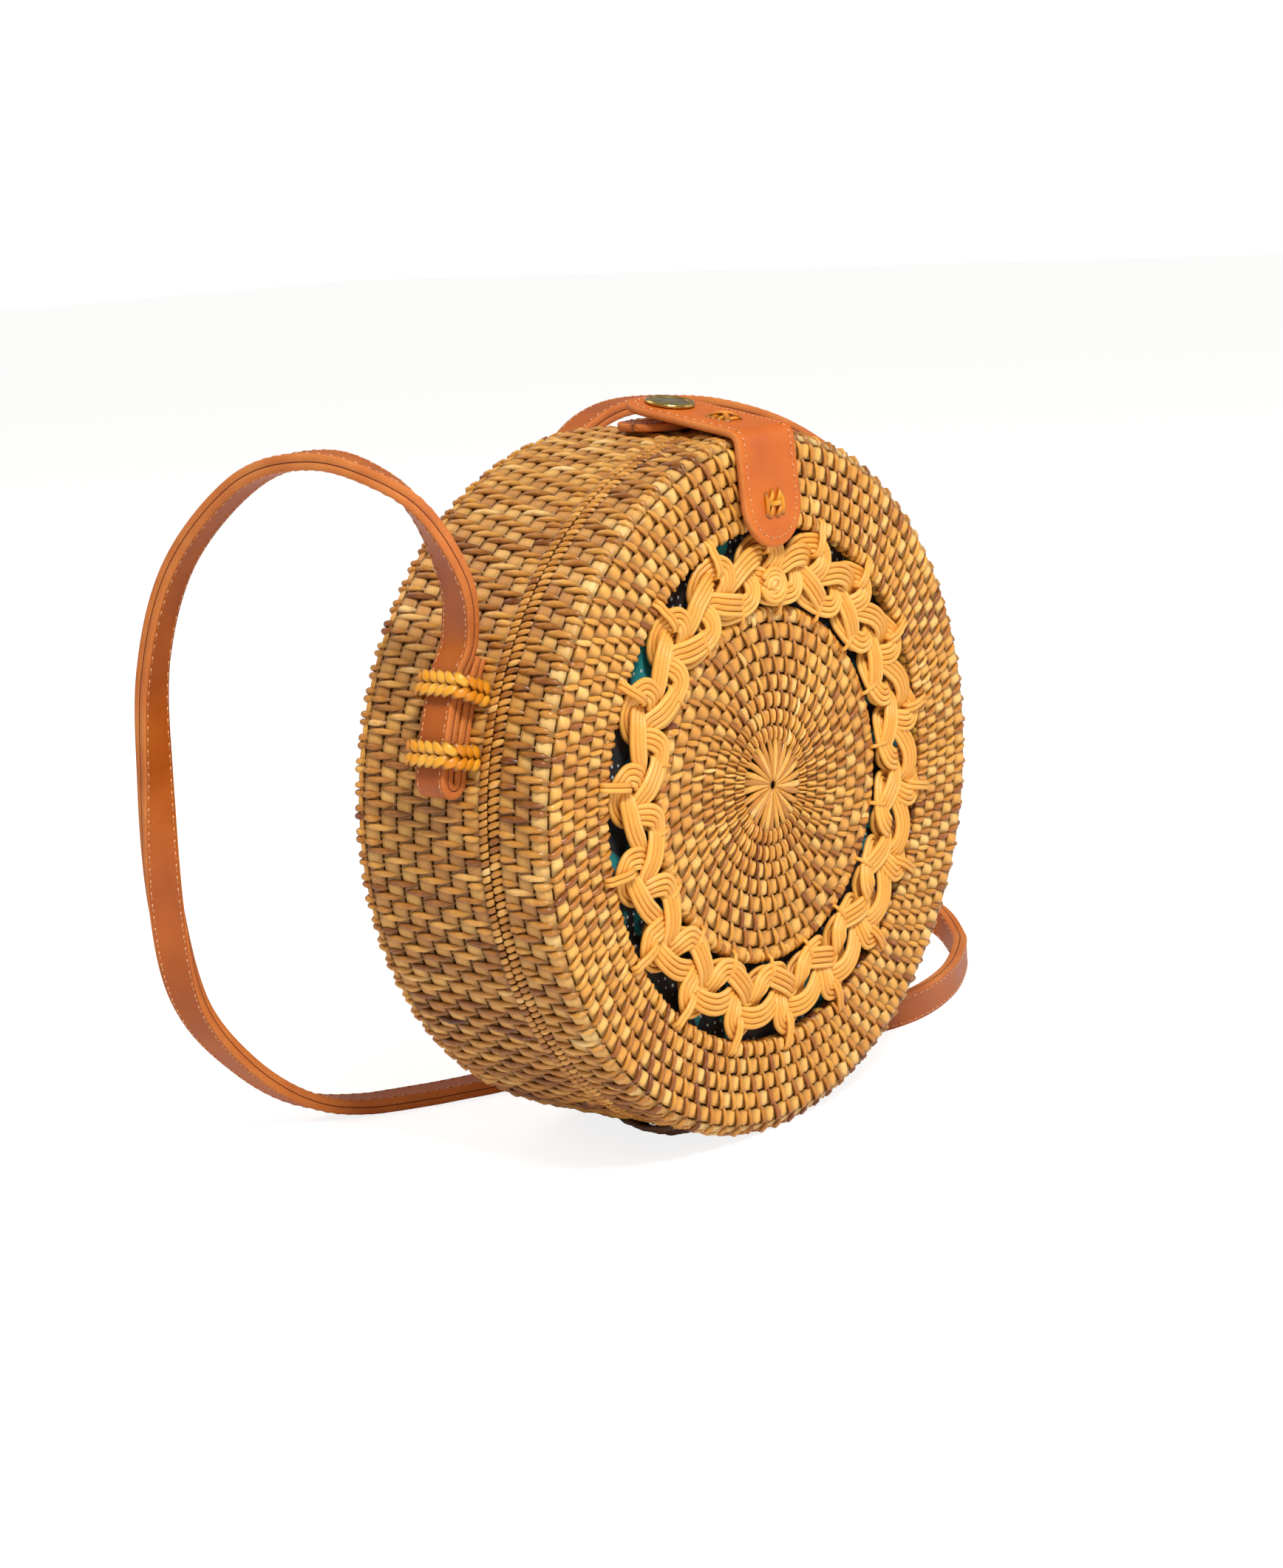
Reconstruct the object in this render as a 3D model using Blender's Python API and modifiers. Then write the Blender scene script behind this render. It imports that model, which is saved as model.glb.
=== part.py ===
# Round woven rattan bag with a braid ring, a leather closure and a long strap.
# Metres, +Z up. The front faces -Y, and the origin is the lowest line of the
# drum, half way through its depth.

import math

import bpy
import bmesh
from mathutils import Matrix, Vector

# Driving dimensions of the drum
bag_radius = 0.1005
bag_depth = 0.070
lid_depth = 0.0200
corner_depth = 0.0075
corner_round = 0.0038
wall_thickness = 0.0050
ring_pitch = 0.006
ring_groove = 0.0007
crest_flat_share = 0.55
drum_facets = 36
fit_gap = 0.0003

# Front face: woven ring, open ring with the braid, centre disc
opening_share = 0.7313
rim_wrap_radius = 0.0025
braid_ring_width = 0.0220
disc_wrap_radius = 0.0022
disc_thickness = 0.0035
disc_recess = 0.0010
disc_hub_radius = 0.0128
disc_ring_pitch = 0.0043
hub_hole_radius = 0.0015
back_hub_radius = 0.0215
wrap_sides = 8

# Braid of three flat bundles
braid_periods = 6
braid_points_per_period = 12
bundle_width_share = 0.300
bundle_thickness = 0.0028
braid_lift = 0.0020
braid_lean_share = 0.15
braid_phase_share = 0.318

# Cloth lining and rattan hoops inside
lining_thickness = 0.0008
hoop_width = 0.0026
hoop_height = 0.0034

# Leather closure over the front corner
closure_half_width = 0.013
leather_thickness = 0.0021
closure_front_length = 0.0297
closure_lean = math.radians(4.5)
closure_rise = math.radians(10.5)
closure_bend_radius = 0.0034
closure_bend_drop = 0.0021
closure_front_gap = 0.0006
flap_split = 0.0015
flap_snap_reach = 0.0134
flap_round_reach = 0.0125

# Leather tab on the body
tab_half_width = 0.0125
tab_thickness = 0.0022
tab_length = 0.0249
tab_front_gap = 0.0026
tab_stitch_run = 0.0082

# Press stud
cap_radius = 0.0073
cap_height = 0.0015
stem_radius = 0.0014
socket_radius = 0.0042
socket_height = 0.0009
socket_bore_radius = 0.0027
stud_radius = 0.0019
stud_base_radius = 0.0022
stud_base_height = 0.0002
stud_height = 0.0005
washer_radius = 0.0045
washer_thickness = 0.0004
snap_facets = 20

# Rattan stitches through the leather
stitch_half_thickness = 0.0006
top_stitch_half_width = 0.0048
top_stitch_length = 0.0100
top_stitch_y = -0.0228
front_stitch_half_width = 0.0039
front_stitch_length = 0.0110
front_stitch_drop = 0.0178
stitch_rise = 0.0008
tab_stitch_half_width = 0.0024
tab_stitch_length = 0.0080
tab_stitch_rise = 0.0003

# Hinge loops across the seam
hinge_angle = math.radians(22.0)
hinge_reach = 0.0112
hinge_half_width = 0.0060
hinge_half_thickness = 0.0013
hinge_rise = 0.0030
hinge_foot_run = 0.0040
axis_drop = 0.0003

# Strap and its ties
strap_width = 0.010
strap_thickness = 0.0045
strap_centre_y = -0.0030
fold_gap = 0.0007
tail_top_angle = math.radians(28.5)
tail_fold_angle = math.radians(10.0)
tail_leave_angle = math.radians(26.0)
tie_angles = {"upper": math.radians(23.2), "lower": math.radians(13.6)}
tie_half_height = 0.0034
tie_half_thickness = 0.0012
tie_slack = 0.0005
strap_step = 0.011

# Free run of the strap from the left tie to the right one. Each row holds a
# point of its centre line and the direction of its width, the point in shares
# of the bag's radius. Where it lies on the floor its height follows from the
# way it leans.
strap_route_shares = [
    ((-0.952, -0.050, 1.549), (0.00, 1.00, 0.00)),
    ((-0.993, -0.090, 1.706), (0.15, 1.00, 0.00)),
    ((-1.040, -0.030, 1.886), (0.55, 0.85, 0.00)),
    ((-1.093, 0.060, 1.980), (0.80, 0.60, 0.00)),
    ((-1.124, 0.249, 2.033), (1.00, 0.20, 0.00)),
    ((-1.130, 0.517, 1.977), (1.00, 0.05, 0.00)),
    ((-1.140, 0.796, 1.751), (0.98, 0.17, 0.00)),
    ((-1.139, 0.945, 1.458), (0.98, 0.17, 0.00)),
    ((-1.109, 1.015, 1.119), (0.95, -0.10, 0.00)),
    ((-1.087, 1.040, 0.721), (0.75, -0.62, 0.00)),
    ((-1.040, 1.020, 0.433), (0.30, -0.95, 0.00)),
    ((-0.893, 0.980, 0.222), (0.05, -1.00, 0.00)),
    ((-0.697, 0.940, 0.073), (0.00, -1.00, 0.00)),
    ((-0.507, 0.846, 0.024), (-0.20, -1.00, 0.00)),
    ((-0.249, 0.708, 0.024), (-0.45, -0.88, 0.00)),
    ((0.060, 0.587, 0.024), (-0.45, -0.80, -0.15)),
    ((0.358, 0.418, 0.024), (-0.38, -0.70, -0.45)),
    ((0.637, 0.179, 0.024), (-0.15, -0.30, -0.90)),
    ((0.856, 0.020, 0.024), (0.00, 0.00, -1.00)),
    ((1.104, -0.030, 0.024), (0.00, 0.00, -1.00)),
    ((1.393, 0.030, 0.024), (0.00, 0.00, -1.00)),
    ((1.682, 0.169, 0.024), (0.00, 0.00, -1.00)),
    ((1.841, 0.289, 0.055), (0.00, 0.00, -1.00)),
    ((1.905, 0.428, 0.114), (0.00, 0.00, -1.00)),
    ((1.831, 0.617, 0.179), (0.00, 0.00, -1.00)),
    ((1.552, 0.816, 0.254), (0.05, 0.15, -1.00)),
    ((1.124, 0.915, 0.373), (0.15, 0.40, -0.90)),
    ((0.677, 0.876, 0.582), (0.20, 0.80, -0.55)),
    ((0.289, 0.746, 0.910), (0.10, 0.99, -0.10)),
    ((0.070, 0.577, 1.348), (0.00, 1.00, 0.00)),
    ((-0.010, 0.458, 1.732), (0.00, 1.00, 0.00)),
    ((0.070, 0.428, 1.937), (0.00, 1.00, 0.00)),
    ((0.289, 0.443, 2.025), (0.00, 1.00, 0.00)),
    ((0.557, 0.428, 2.029), (0.05, 1.00, 0.00)),
    ((0.786, 0.368, 1.988), (0.20, 1.00, 0.00)),
    ((0.945, 0.249, 1.900), (0.25, 1.00, 0.00)),
    ((1.030, 0.080, 1.736), (0.10, 1.00, 0.00)),
    ((1.000, -0.010, 1.597), (0.00, 1.00, 0.00)),
]

# Places worked out from the values above
front_y = -bag_depth / 2
back_y = bag_depth / 2
seam_y = front_y + lid_depth
half_facet = math.pi / drum_facets
facet_stretch = 1 / math.cos(half_facet)
inner_radius = bag_radius - wall_thickness
face_inner_y = front_y + wall_thickness
back_inner_y = back_y - wall_thickness
opening_radius = bag_radius * opening_share
disc_outer_radius = opening_radius - braid_ring_width
rim_centre_radius = opening_radius + rim_wrap_radius
face_ring_inner = rim_centre_radius + rim_wrap_radius + fit_gap
disc_rim_centre = disc_outer_radius - disc_wrap_radius
disc_radius = disc_rim_centre - disc_wrap_radius - fit_gap
lining_radius = inner_radius - fit_gap
braid_radius = (disc_outer_radius + opening_radius) / 2
bundle_width = braid_ring_width * bundle_width_share
braid_swing = (braid_ring_width - bundle_width) / 2 - fit_gap
braid_y = face_inner_y - fit_gap - braid_lift - bundle_thickness / 2
top_z = 2 * bag_radius
closure_bend_height = top_z - closure_bend_drop
drum_crest = bag_radius * facet_stretch

collection = bpy.data.collections.new("braided_crossbody_bag")
guides = bpy.data.collections.new("cutters")

finishes = {
    "rattan": ((0.42, 0.20, 0.065), 0.55, 0.0),
    "rattan_pale": ((0.70, 0.40, 0.13), 0.50, 0.0),
    "rattan_dark": ((0.14, 0.055, 0.018), 0.60, 0.0),
    "raffia": ((0.62, 0.28, 0.03), 0.45, 0.0),
    "leather": ((0.60, 0.14, 0.018), 0.45, 0.0),
    "cloth": ((0.012, 0.030, 0.035), 0.90, 0.0),
    "brass": ((0.28, 0.23, 0.12), 0.35, 1.0),
}


def finish(name, kind):
    """Give a piece its own material, from its kind of finish."""
    colour, roughness, metallic = finishes[kind]
    material = bpy.data.materials.new(name + "_" + kind)
    material.use_nodes = True
    shader = material.node_tree.nodes["Principled BSDF"]
    shader.inputs["Base Color"].default_value = (*colour, 1.0)
    shader.inputs["Roughness"].default_value = roughness
    shader.inputs["Metallic"].default_value = metallic
    return material


def place(name, data, kind, carrier=None):
    """Put a mesh or curve in the bag's collection, with its own material."""
    piece = bpy.data.objects.new(name, data)
    data.materials.append(finish(name, kind))
    collection.objects.link(piece)
    if carrier is not None:
        piece.parent = carrier
        piece.matrix_parent_inverse = carrier.matrix_basis.inverted()
    return piece


def seat_in_drum(piece):
    """Turn a piece's own Z to the front and centre it in the drum."""
    piece.location = (0, 0, bag_radius)
    piece.rotation_euler = (math.pi / 2, half_facet, 0)


def turned(name, outline, steps, kind, carrier=None):
    """Revolve an outline of (radius, height) points about the piece's Z.

    Its outer side runs from top to bottom. An outline with both ends on the
    axis closes there, and any other closes on itself.
    """
    mesh = bpy.data.meshes.new(name)
    points = [(radius, 0, height) for radius, height in outline]
    edges = [(i, i + 1) for i in range(len(points) - 1)]
    if outline[0][0] > 0 or outline[-1][0] > 0:
        edges.append((len(points) - 1, 0))
    mesh.from_pydata(points, edges, [])
    piece = place(name, mesh, kind, carrier)
    screw = piece.modifiers.new("turn", "SCREW")
    screw.steps = steps
    screw.render_steps = steps
    screw.use_merge_vertices = True
    screw.merge_threshold = fit_gap / 30
    screw.use_smooth_shade = False
    return piece


def drum_piece(name, outline, kind, carrier=None):
    """A turned piece of the drum, from an outline of (radius, y) points."""
    stretched = [(radius * facet_stretch, -y) for radius, y in outline]
    piece = turned(name, stretched, drum_facets, kind, carrier)
    seat_in_drum(piece)
    return piece


def wall_ribs(start_y, end_y, radius):
    """Outer side of a wall: one flat-crested rib for each core ring."""
    count = max(1, round((end_y - start_y) / ring_pitch))
    pitch = (end_y - start_y) / count
    points = [(radius - ring_groove, start_y)]
    for rib in range(count):
        middle = start_y + (rib + 0.5) * pitch
        flat = pitch * crest_flat_share / 2
        points.append((radius, middle - flat))
        points.append((radius, middle + flat))
        points.append((radius - ring_groove, middle + pitch / 2))
    return points


def face_ribs(start_radius, end_radius, y, inward, spacing):
    """Ribs of a woven face, from one radius to another; inward is +1 or -1."""
    count = max(1, round(abs(end_radius - start_radius) / spacing))
    pitch = (end_radius - start_radius) / count
    points = []
    for rib in range(count):
        points.append((start_radius + rib * pitch, y + inward * ring_groove))
        points.append((start_radius + (rib + 0.5) * pitch, y))
    points.append((end_radius, y + inward * ring_groove))
    return points


def corner(y, inward):
    """Round corner of the drum, from the face at y to the wall."""
    points = []
    for step in range(4):
        angle = math.pi / 2 * step / 3
        radius = bag_radius - corner_round * (1 - math.sin(angle))
        points.append((radius, y + inward * corner_round * (1 - math.cos(angle))))
    return points


def round_ring(centre_radius, y, radius, sides):
    """Closed outline of a ring of round section."""
    points = []
    for side in range(sides):
        angle = -2 * math.pi * side / sides
        points.append((centre_radius + radius * math.cos(angle), y - radius * math.sin(angle)))
    return points


def oval(name, half_width, half_thickness):
    """Flat oval section that a swept curve follows."""
    curve = bpy.data.curves.new(name, "CURVE")
    curve.dimensions = "2D"
    spline = curve.splines.new("POLY")
    sides = 8
    spline.points.add(sides - 1)
    for side, point in enumerate(spline.points):
        angle = -2 * math.pi * (side + 0.5) / sides
        point.co = (half_width * math.cos(angle), half_thickness * math.sin(angle), 0, 1)
    spline.use_cyclic_u = True
    guide = bpy.data.objects.new(name, curve)
    guide.hide_render = True
    guide.display_type = "WIRE"
    guides.objects.link(guide)
    return guide


def swept(name, points, section, kind, closed=False, carrier=None):
    """Sweep a section along points, its thickness kept along the piece's Z."""
    curve = bpy.data.curves.new(name, "CURVE")
    curve.dimensions = "3D"
    curve.twist_mode = "Z_UP"
    curve.bevel_mode = "OBJECT"
    curve.bevel_object = section
    curve.use_fill_caps = not closed
    spline = curve.splines.new("POLY")
    spline.points.add(len(points) - 1)
    for point, place_at in zip(spline.points, points):
        point.co = (*place_at, 1)
    spline.use_cyclic_u = closed
    return place(name, curve, kind, carrier)


def ribbon(name, rows, thickness, kind, carrier=None):
    """Leather strip from rows of (left point, right point), made thick."""
    mesh = bpy.data.meshes.new(name)
    shape = bmesh.new()
    made = [(shape.verts.new(left), shape.verts.new(right)) for left, right in rows]
    for (left, right), (next_left, next_right) in zip(made, made[1:]):
        shape.faces.new((left, right, next_right, next_left))
    bmesh.ops.remove_doubles(shape, verts=shape.verts, dist=fit_gap / 30)
    shape.to_mesh(mesh)
    shape.free()
    piece = place(name, mesh, kind, carrier)
    solid = piece.modifiers.new("leather", "SOLIDIFY")
    solid.thickness = thickness
    solid.offset = 0
    solid.use_even_offset = True
    return piece


def round_end(reach, half_width, steps):
    """Half widths along a strip that ends in a half circle, tip last."""
    pairs = []
    for step in range(steps + 1):
        angle = math.pi / 2 * step / steps
        pairs.append((reach - half_width + half_width * math.sin(angle), half_width * math.cos(angle)))
    return pairs


def cut_hole(piece, name, radius, depth, matrix, carrier=None):
    """Cut a round hole; the matrix places the cutter's middle and axis."""
    mesh = bpy.data.meshes.new(name)
    shape = bmesh.new()
    bmesh.ops.create_cone(shape, cap_ends=True, segments=snap_facets,
                          radius1=radius, radius2=radius, depth=depth)
    shape.to_mesh(mesh)
    shape.free()
    cutter = bpy.data.objects.new(name, mesh)
    cutter.hide_render = True
    cutter.display_type = "WIRE"
    guides.objects.link(cutter)
    if carrier is not None:
        cutter.parent = carrier
    cutter.matrix_basis = matrix
    cut = piece.modifiers.new(name, "BOOLEAN")
    cut.operation = "DIFFERENCE"
    cut.solver = "EXACT"
    cut.object = cutter


def make_drum(lid_axis):
    """Woven walls, faces, hoops and lining of both halves."""
    body_wall_front = seam_y + fit_gap / 2
    body_wall_back = back_y - corner_depth - fit_gap / 2
    outline = wall_ribs(body_wall_front, body_wall_back, bag_radius)
    outline += [(inner_radius, body_wall_back), (inner_radius, body_wall_front)]
    drum_piece("body_wall", outline, "rattan")

    lid_wall_front = front_y + corner_depth + fit_gap / 2
    lid_wall_back = seam_y - fit_gap / 2
    outline = wall_ribs(lid_wall_front, lid_wall_back, bag_radius)
    outline += [(inner_radius, lid_wall_back), (inner_radius, lid_wall_front)]
    drum_piece("lid_wall", outline, "rattan", lid_axis)

    rim_y = back_y - corner_depth + fit_gap / 2
    outline = [(0, back_inner_y), (inner_radius, back_inner_y), (inner_radius, rim_y), (bag_radius, rim_y)]
    outline += reversed(corner(back_y, -1))
    outline += face_ribs(bag_radius - corner_round, back_hub_radius, back_y, -1, ring_pitch)[1:-1]
    outline += [(back_hub_radius, back_y), (0, back_y)]
    drum_piece("back_panel", outline, "rattan")

    rim_y = front_y + corner_depth - fit_gap / 2
    outline = face_ribs(face_ring_inner, bag_radius - corner_round, front_y, 1, ring_pitch)[:-1]
    outline += corner(front_y, 1)
    outline += [(bag_radius, rim_y), (inner_radius, rim_y), (inner_radius, face_inner_y)]
    outline += [(face_ring_inner, face_inner_y)]
    drum_piece("lid_face_ring", outline, "rattan", lid_axis)

    rim_y = face_inner_y - rim_wrap_radius
    outline = round_ring(rim_centre_radius, rim_y, rim_wrap_radius, wrap_sides)
    drum_piece("face_rim_wrap", outline, "rattan", lid_axis)

    disc_front = front_y + disc_recess
    outline = [(hub_hole_radius, disc_front)]
    outline += face_ribs(disc_hub_radius, disc_radius, disc_front, 1, disc_ring_pitch)
    outline += [(disc_radius, disc_front + disc_thickness), (hub_hole_radius, disc_front + disc_thickness)]
    drum_piece("centre_disc", outline, "rattan", lid_axis)
    outline = round_ring(disc_rim_centre, face_inner_y - disc_wrap_radius, disc_wrap_radius, wrap_sides)
    drum_piece("disc_rim_wrap", outline, "rattan", lid_axis)

    lining_front = face_inner_y + fit_gap
    lining_rear = lining_front + lining_thickness
    outline = [(0, lining_front), (lining_radius, lining_front)]
    outline += [(lining_radius, lining_rear), (0, lining_rear)]
    drum_piece("lining_lid_face", outline, "cloth", lid_axis)

    wall_front = lining_rear + fit_gap
    wall_rear = seam_y - fit_gap / 2
    cloth_inner = lining_radius - lining_thickness
    outline = [(lining_radius, wall_front), (lining_radius, wall_rear)]
    outline += [(cloth_inner, wall_rear), (cloth_inner, wall_front)]
    drum_piece("lining_lid_wall", outline, "cloth", lid_axis)

    cup_back = back_inner_y - fit_gap
    cup_front = seam_y + fit_gap / 2
    cup_floor = cup_back - lining_thickness
    outline = [(0, cup_floor), (cloth_inner, cup_floor), (cloth_inner, cup_front)]
    outline += [(lining_radius, cup_front), (lining_radius, cup_back), (0, cup_back)]
    drum_piece("lining_body", outline, "cloth")

    hoop_outer = cloth_inner - fit_gap
    for name, near, far, carrier in (
        ("body_mouth_hoop", seam_y + fit_gap / 2, seam_y + hoop_height, None),
        ("lid_mouth_hoop", seam_y - hoop_height, seam_y - fit_gap / 2, lid_axis),
    ):
        chamfer = hoop_width / 4
        outline = [(hoop_outer, near), (hoop_outer, far), (hoop_outer - hoop_width + chamfer, far)]
        outline += [(hoop_outer - hoop_width, far - chamfer), (hoop_outer - hoop_width, near + chamfer)]
        outline += [(hoop_outer - hoop_width + chamfer, near)]
        drum_piece(name, outline, "rattan_pale", carrier)


def make_braid(lid_axis):
    """Three flat bundles plaited over and under, with lobes that lean over."""
    section = oval("bundle_section", bundle_width / 2, bundle_thickness / 2)
    steps = braid_periods * braid_points_per_period
    for strand, letter in enumerate("abc"):
        points = []
        for step in range(steps):
            phase = 2 * math.pi * step / braid_points_per_period
            lean = braid_lean_share * math.cos(2 * phase)
            turn = (phase + lean - 2 * math.pi * (strand / 3 + braid_phase_share)) / braid_periods
            radius = braid_radius + braid_swing * math.sin(phase)
            lift = -braid_lift * math.sin(2 * phase)
            points.append((radius * math.cos(turn), radius * math.sin(turn), lift - braid_y))
        piece = swept("braid_strand_" + letter, points, section, "rattan_pale", True, lid_axis)
        seat_in_drum(piece)


def closure_side():
    """Middle line of the closure from its lower tip to the flap's split.

    Returns the points as (y, z) with the distance run, and the place and the
    direction of the split.
    """
    half = leather_thickness / 2
    lean_direction = Vector((math.sin(closure_lean), math.cos(closure_lean)))
    bend_start = Vector((front_y - closure_front_gap - half, closure_bend_height))
    tip_run = closure_front_length / math.cos(closure_lean)
    tip = bend_start - lean_direction * tip_run
    turn = math.pi / 2 - closure_lean - closure_rise
    centre = bend_start + Vector((math.cos(closure_lean), -math.sin(closure_lean))) * closure_bend_radius
    points = []
    for reach, width in reversed(round_end(tip_run, closure_half_width, 6)):
        points.append((bend_start - lean_direction * reach, width))
    steps = 6
    for step in range(steps + 1):
        angle = turn * step / steps + closure_lean
        out = Vector((-math.cos(angle), math.sin(angle)))
        points.append((centre + out * closure_bend_radius, closure_half_width))
    rise_direction = Vector((math.cos(closure_rise), math.sin(closure_rise)))
    bend_end = points[-1][0]
    split_y = seam_y - flap_split
    split = bend_end + rise_direction * (split_y - bend_end.x) / rise_direction.x
    points.append((split, closure_half_width))
    return points, split


def across(points):
    """Rows of a strip that lies square to X, from (y, z) points and widths."""
    return [((-width, at.x, at.y), (width, at.x, at.y)) for at, width in points]


def staple(name, length, half_width, rise, carrier=None):
    """Low arch of raffia along the piece's X, feet on its own XY plane."""
    section = oval(name + "_section", half_width, stitch_half_thickness)
    foot = stitch_half_thickness + fit_gap
    top = foot + rise
    points = [(-length / 2, 0, foot), (-length / 4, 0, top), (length / 4, 0, top), (length / 2, 0, foot)]
    return swept(name, points, section, "raffia", False, carrier)


def make_closure(lid_axis):
    """Leather over the corner, its flap with the snap, and the body's tab."""
    points, split = closure_side()
    ribbon("closure_strap", across(points), leather_thickness, "leather", lid_axis)
    half = leather_thickness / 2
    up = Vector((0, -math.sin(closure_rise), math.cos(closure_rise)))
    along = Vector((0, math.cos(closure_rise), math.sin(closure_rise)))
    top_of_split = Vector((0, split.x, split.y)) + up * half

    flap_axis = bpy.data.objects.new("flap_axis", None)
    collection.objects.link(flap_axis)
    flap_axis.location = top_of_split
    flap_axis.rotation_euler = (closure_rise, 0, 0)
    flap_axis.parent = lid_axis
    flap_axis.matrix_parent_inverse = lid_axis.matrix_basis.inverted()

    reach = flap_round_reach + closure_half_width
    rows = [(Vector((fit_gap, -half)), closure_half_width)]
    rows += [(Vector((run, -half)), width) for run, width in round_end(reach, closure_half_width, 6)]
    flap = ribbon("closure_flap", across(rows), leather_thickness, "leather")
    flap.parent = flap_axis
    hole = Matrix.Translation((0, flap_snap_reach, -half))
    cut_hole(flap, "flap_hole", stem_radius + fit_gap, 2 * leather_thickness, hole, flap_axis)

    stem_end = -leather_thickness - fit_gap
    outline = [(0, fit_gap + cap_height), (cap_radius * 0.55, fit_gap + cap_height * 0.9)]
    outline += [(cap_radius * 0.88, fit_gap + cap_height * 0.55), (cap_radius, fit_gap + cap_height * 0.2)]
    outline += [(cap_radius * 0.97, fit_gap), (stem_radius, fit_gap), (stem_radius, stem_end), (0, stem_end)]
    cap = turned("snap_cap", outline, snap_facets, "brass")
    cap.parent = flap_axis
    cap.location = (0, flap_snap_reach, 0)

    socket_top = stem_end - fit_gap
    shoulder = socket_top - socket_height * 0.3
    lip = socket_top - socket_height
    outline = [(0, socket_top), (socket_radius * 0.9, socket_top), (socket_radius, shoulder)]
    outline += [(socket_radius * 0.85, lip), (socket_bore_radius, lip)]
    outline += [(socket_bore_radius, shoulder), (0, shoulder)]
    socket = turned("snap_socket", outline, snap_facets, "brass")
    socket.parent = flap_axis
    socket.location = (0, flap_snap_reach, 0)

    stitch_at = top_of_split + along * ((top_stitch_y - top_of_split.y) / along.y)
    stitch = staple("closure_top_stitch", top_stitch_length, top_stitch_half_width,
                    stitch_rise, lid_axis)
    stitch.location = stitch_at
    stitch.rotation_euler = (closure_rise, 0, 0)

    lean = Vector((math.sin(closure_lean), math.cos(closure_lean)))
    bend_start = Vector((front_y - closure_front_gap - half, closure_bend_height))
    at = bend_start - lean * front_stitch_drop
    at += Vector((-math.cos(closure_lean), math.sin(closure_lean))) * half
    stitch = staple("closure_front_stitch", front_stitch_length, front_stitch_half_width,
                    stitch_rise, lid_axis)
    stitch.location = (0, at.x, at.y)
    stitch.rotation_euler = (math.pi / 2 - closure_lean, 0, 0)

    snap_at = top_of_split + along * flap_snap_reach - up * (leather_thickness + socket_height)
    tab_bottom = top_z + 2 * fit_gap + washer_thickness
    tab_middle = tab_bottom + tab_thickness / 2
    tab_front = seam_y + tab_front_gap
    rows = [(Vector((tab_front, tab_middle)), tab_half_width)]
    for run, width in round_end(tab_front + tab_length, tab_half_width, 6):
        rows.append((Vector((run, tab_middle)), width))
    tab = ribbon("base_tab", across(rows), tab_thickness, "leather")
    hole = Matrix.Translation((0, snap_at.y, tab_middle))
    cut_hole(tab, "tab_hole", stem_radius + fit_gap, 2 * tab_thickness, hole)

    base = fit_gap + stud_base_height
    stem_end = -tab_thickness
    outline = [(0, base + stud_height), (stud_radius * 0.8, base + stud_height)]
    outline += [(stud_radius, base + stud_height * 0.7), (stud_radius * 0.85, base)]
    outline += [(stud_base_radius, base), (stud_base_radius, fit_gap), (stem_radius, fit_gap)]
    outline += [(stem_radius, stem_end), (0, stem_end)]
    stud = turned("snap_stud", outline, snap_facets, "brass")
    stud.location = (0, snap_at.y, tab_bottom + tab_thickness)

    outline = [(0, washer_thickness), (washer_radius * 0.9, washer_thickness)]
    outline += [(washer_radius, washer_thickness / 2), (washer_radius * 0.9, 0), (0, 0)]
    washer = turned("stud_washer", outline, snap_facets, "brass")
    washer.location = (0, snap_at.y, top_z + fit_gap)

    stitch = staple("base_tab_stitch", tab_stitch_length, tab_stitch_half_width, tab_stitch_rise)
    stitch.location = (0, snap_at.y + tab_stitch_run, tab_bottom + tab_thickness)


def make_hinges(lid_axis):
    """Two pairs of rattan loops that join the halves under the drum."""
    section = oval("hinge_section", hinge_half_width, hinge_half_thickness)
    foot = drum_crest + fit_gap + hinge_half_thickness
    for side, word in ((-1, "left"), (1, "right")):
        for way, half_name, carrier in ((1, "body", None), (-1, "lid", lid_axis)):
            near = way * fit_gap / 2
            far = way * hinge_reach
            run = way * hinge_foot_run
            points = [(0, near, hinge_rise), (0, far - run, hinge_rise), (0, far, 0)]
            name = "hinge_%s_%s_leaf" % (word, half_name)
            piece = swept(name, points, section, "rattan_dark", False, carrier)
            angle = side * hinge_angle
            piece.location = (math.sin(angle) * foot, seam_y, bag_radius - math.cos(angle) * foot)
            piece.rotation_euler = (0, math.pi - angle, 0)


def drum_point(side, angle, radius):
    """Point on the drum's side, at an angle above its middle."""
    return Vector((side * radius * math.cos(angle), strap_centre_y, bag_radius + radius * math.sin(angle)))


def strap_tail(side):
    """Folded end of the strap, from its hidden end to where it leaves."""
    inner = drum_crest + fit_gap + strap_thickness / 2
    layer = strap_thickness + fold_gap
    outer = inner + layer
    points = []
    steps = 5
    for step in range(steps + 1):
        angle = tail_top_angle + (tail_fold_angle - tail_top_angle) * step / steps
        points.append(drum_point(side, angle, inner))
    middle = drum_point(side, tail_fold_angle, inner + layer / 2)
    out = Vector((side * math.cos(tail_fold_angle), 0, math.sin(tail_fold_angle)))
    down = Vector((side * math.sin(tail_fold_angle), 0, -math.cos(tail_fold_angle)))
    fold_steps = 6
    for step in range(1, fold_steps):
        angle = math.pi * step / fold_steps
        points.append(middle - out * (layer / 2 * math.cos(angle)) + down * (layer / 2 * math.sin(angle)))
    for step in range(steps + 1):
        angle = tail_fold_angle + (tail_leave_angle - tail_fold_angle) * step / steps
        points.append(drum_point(side, angle, outer))
    return points


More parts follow.
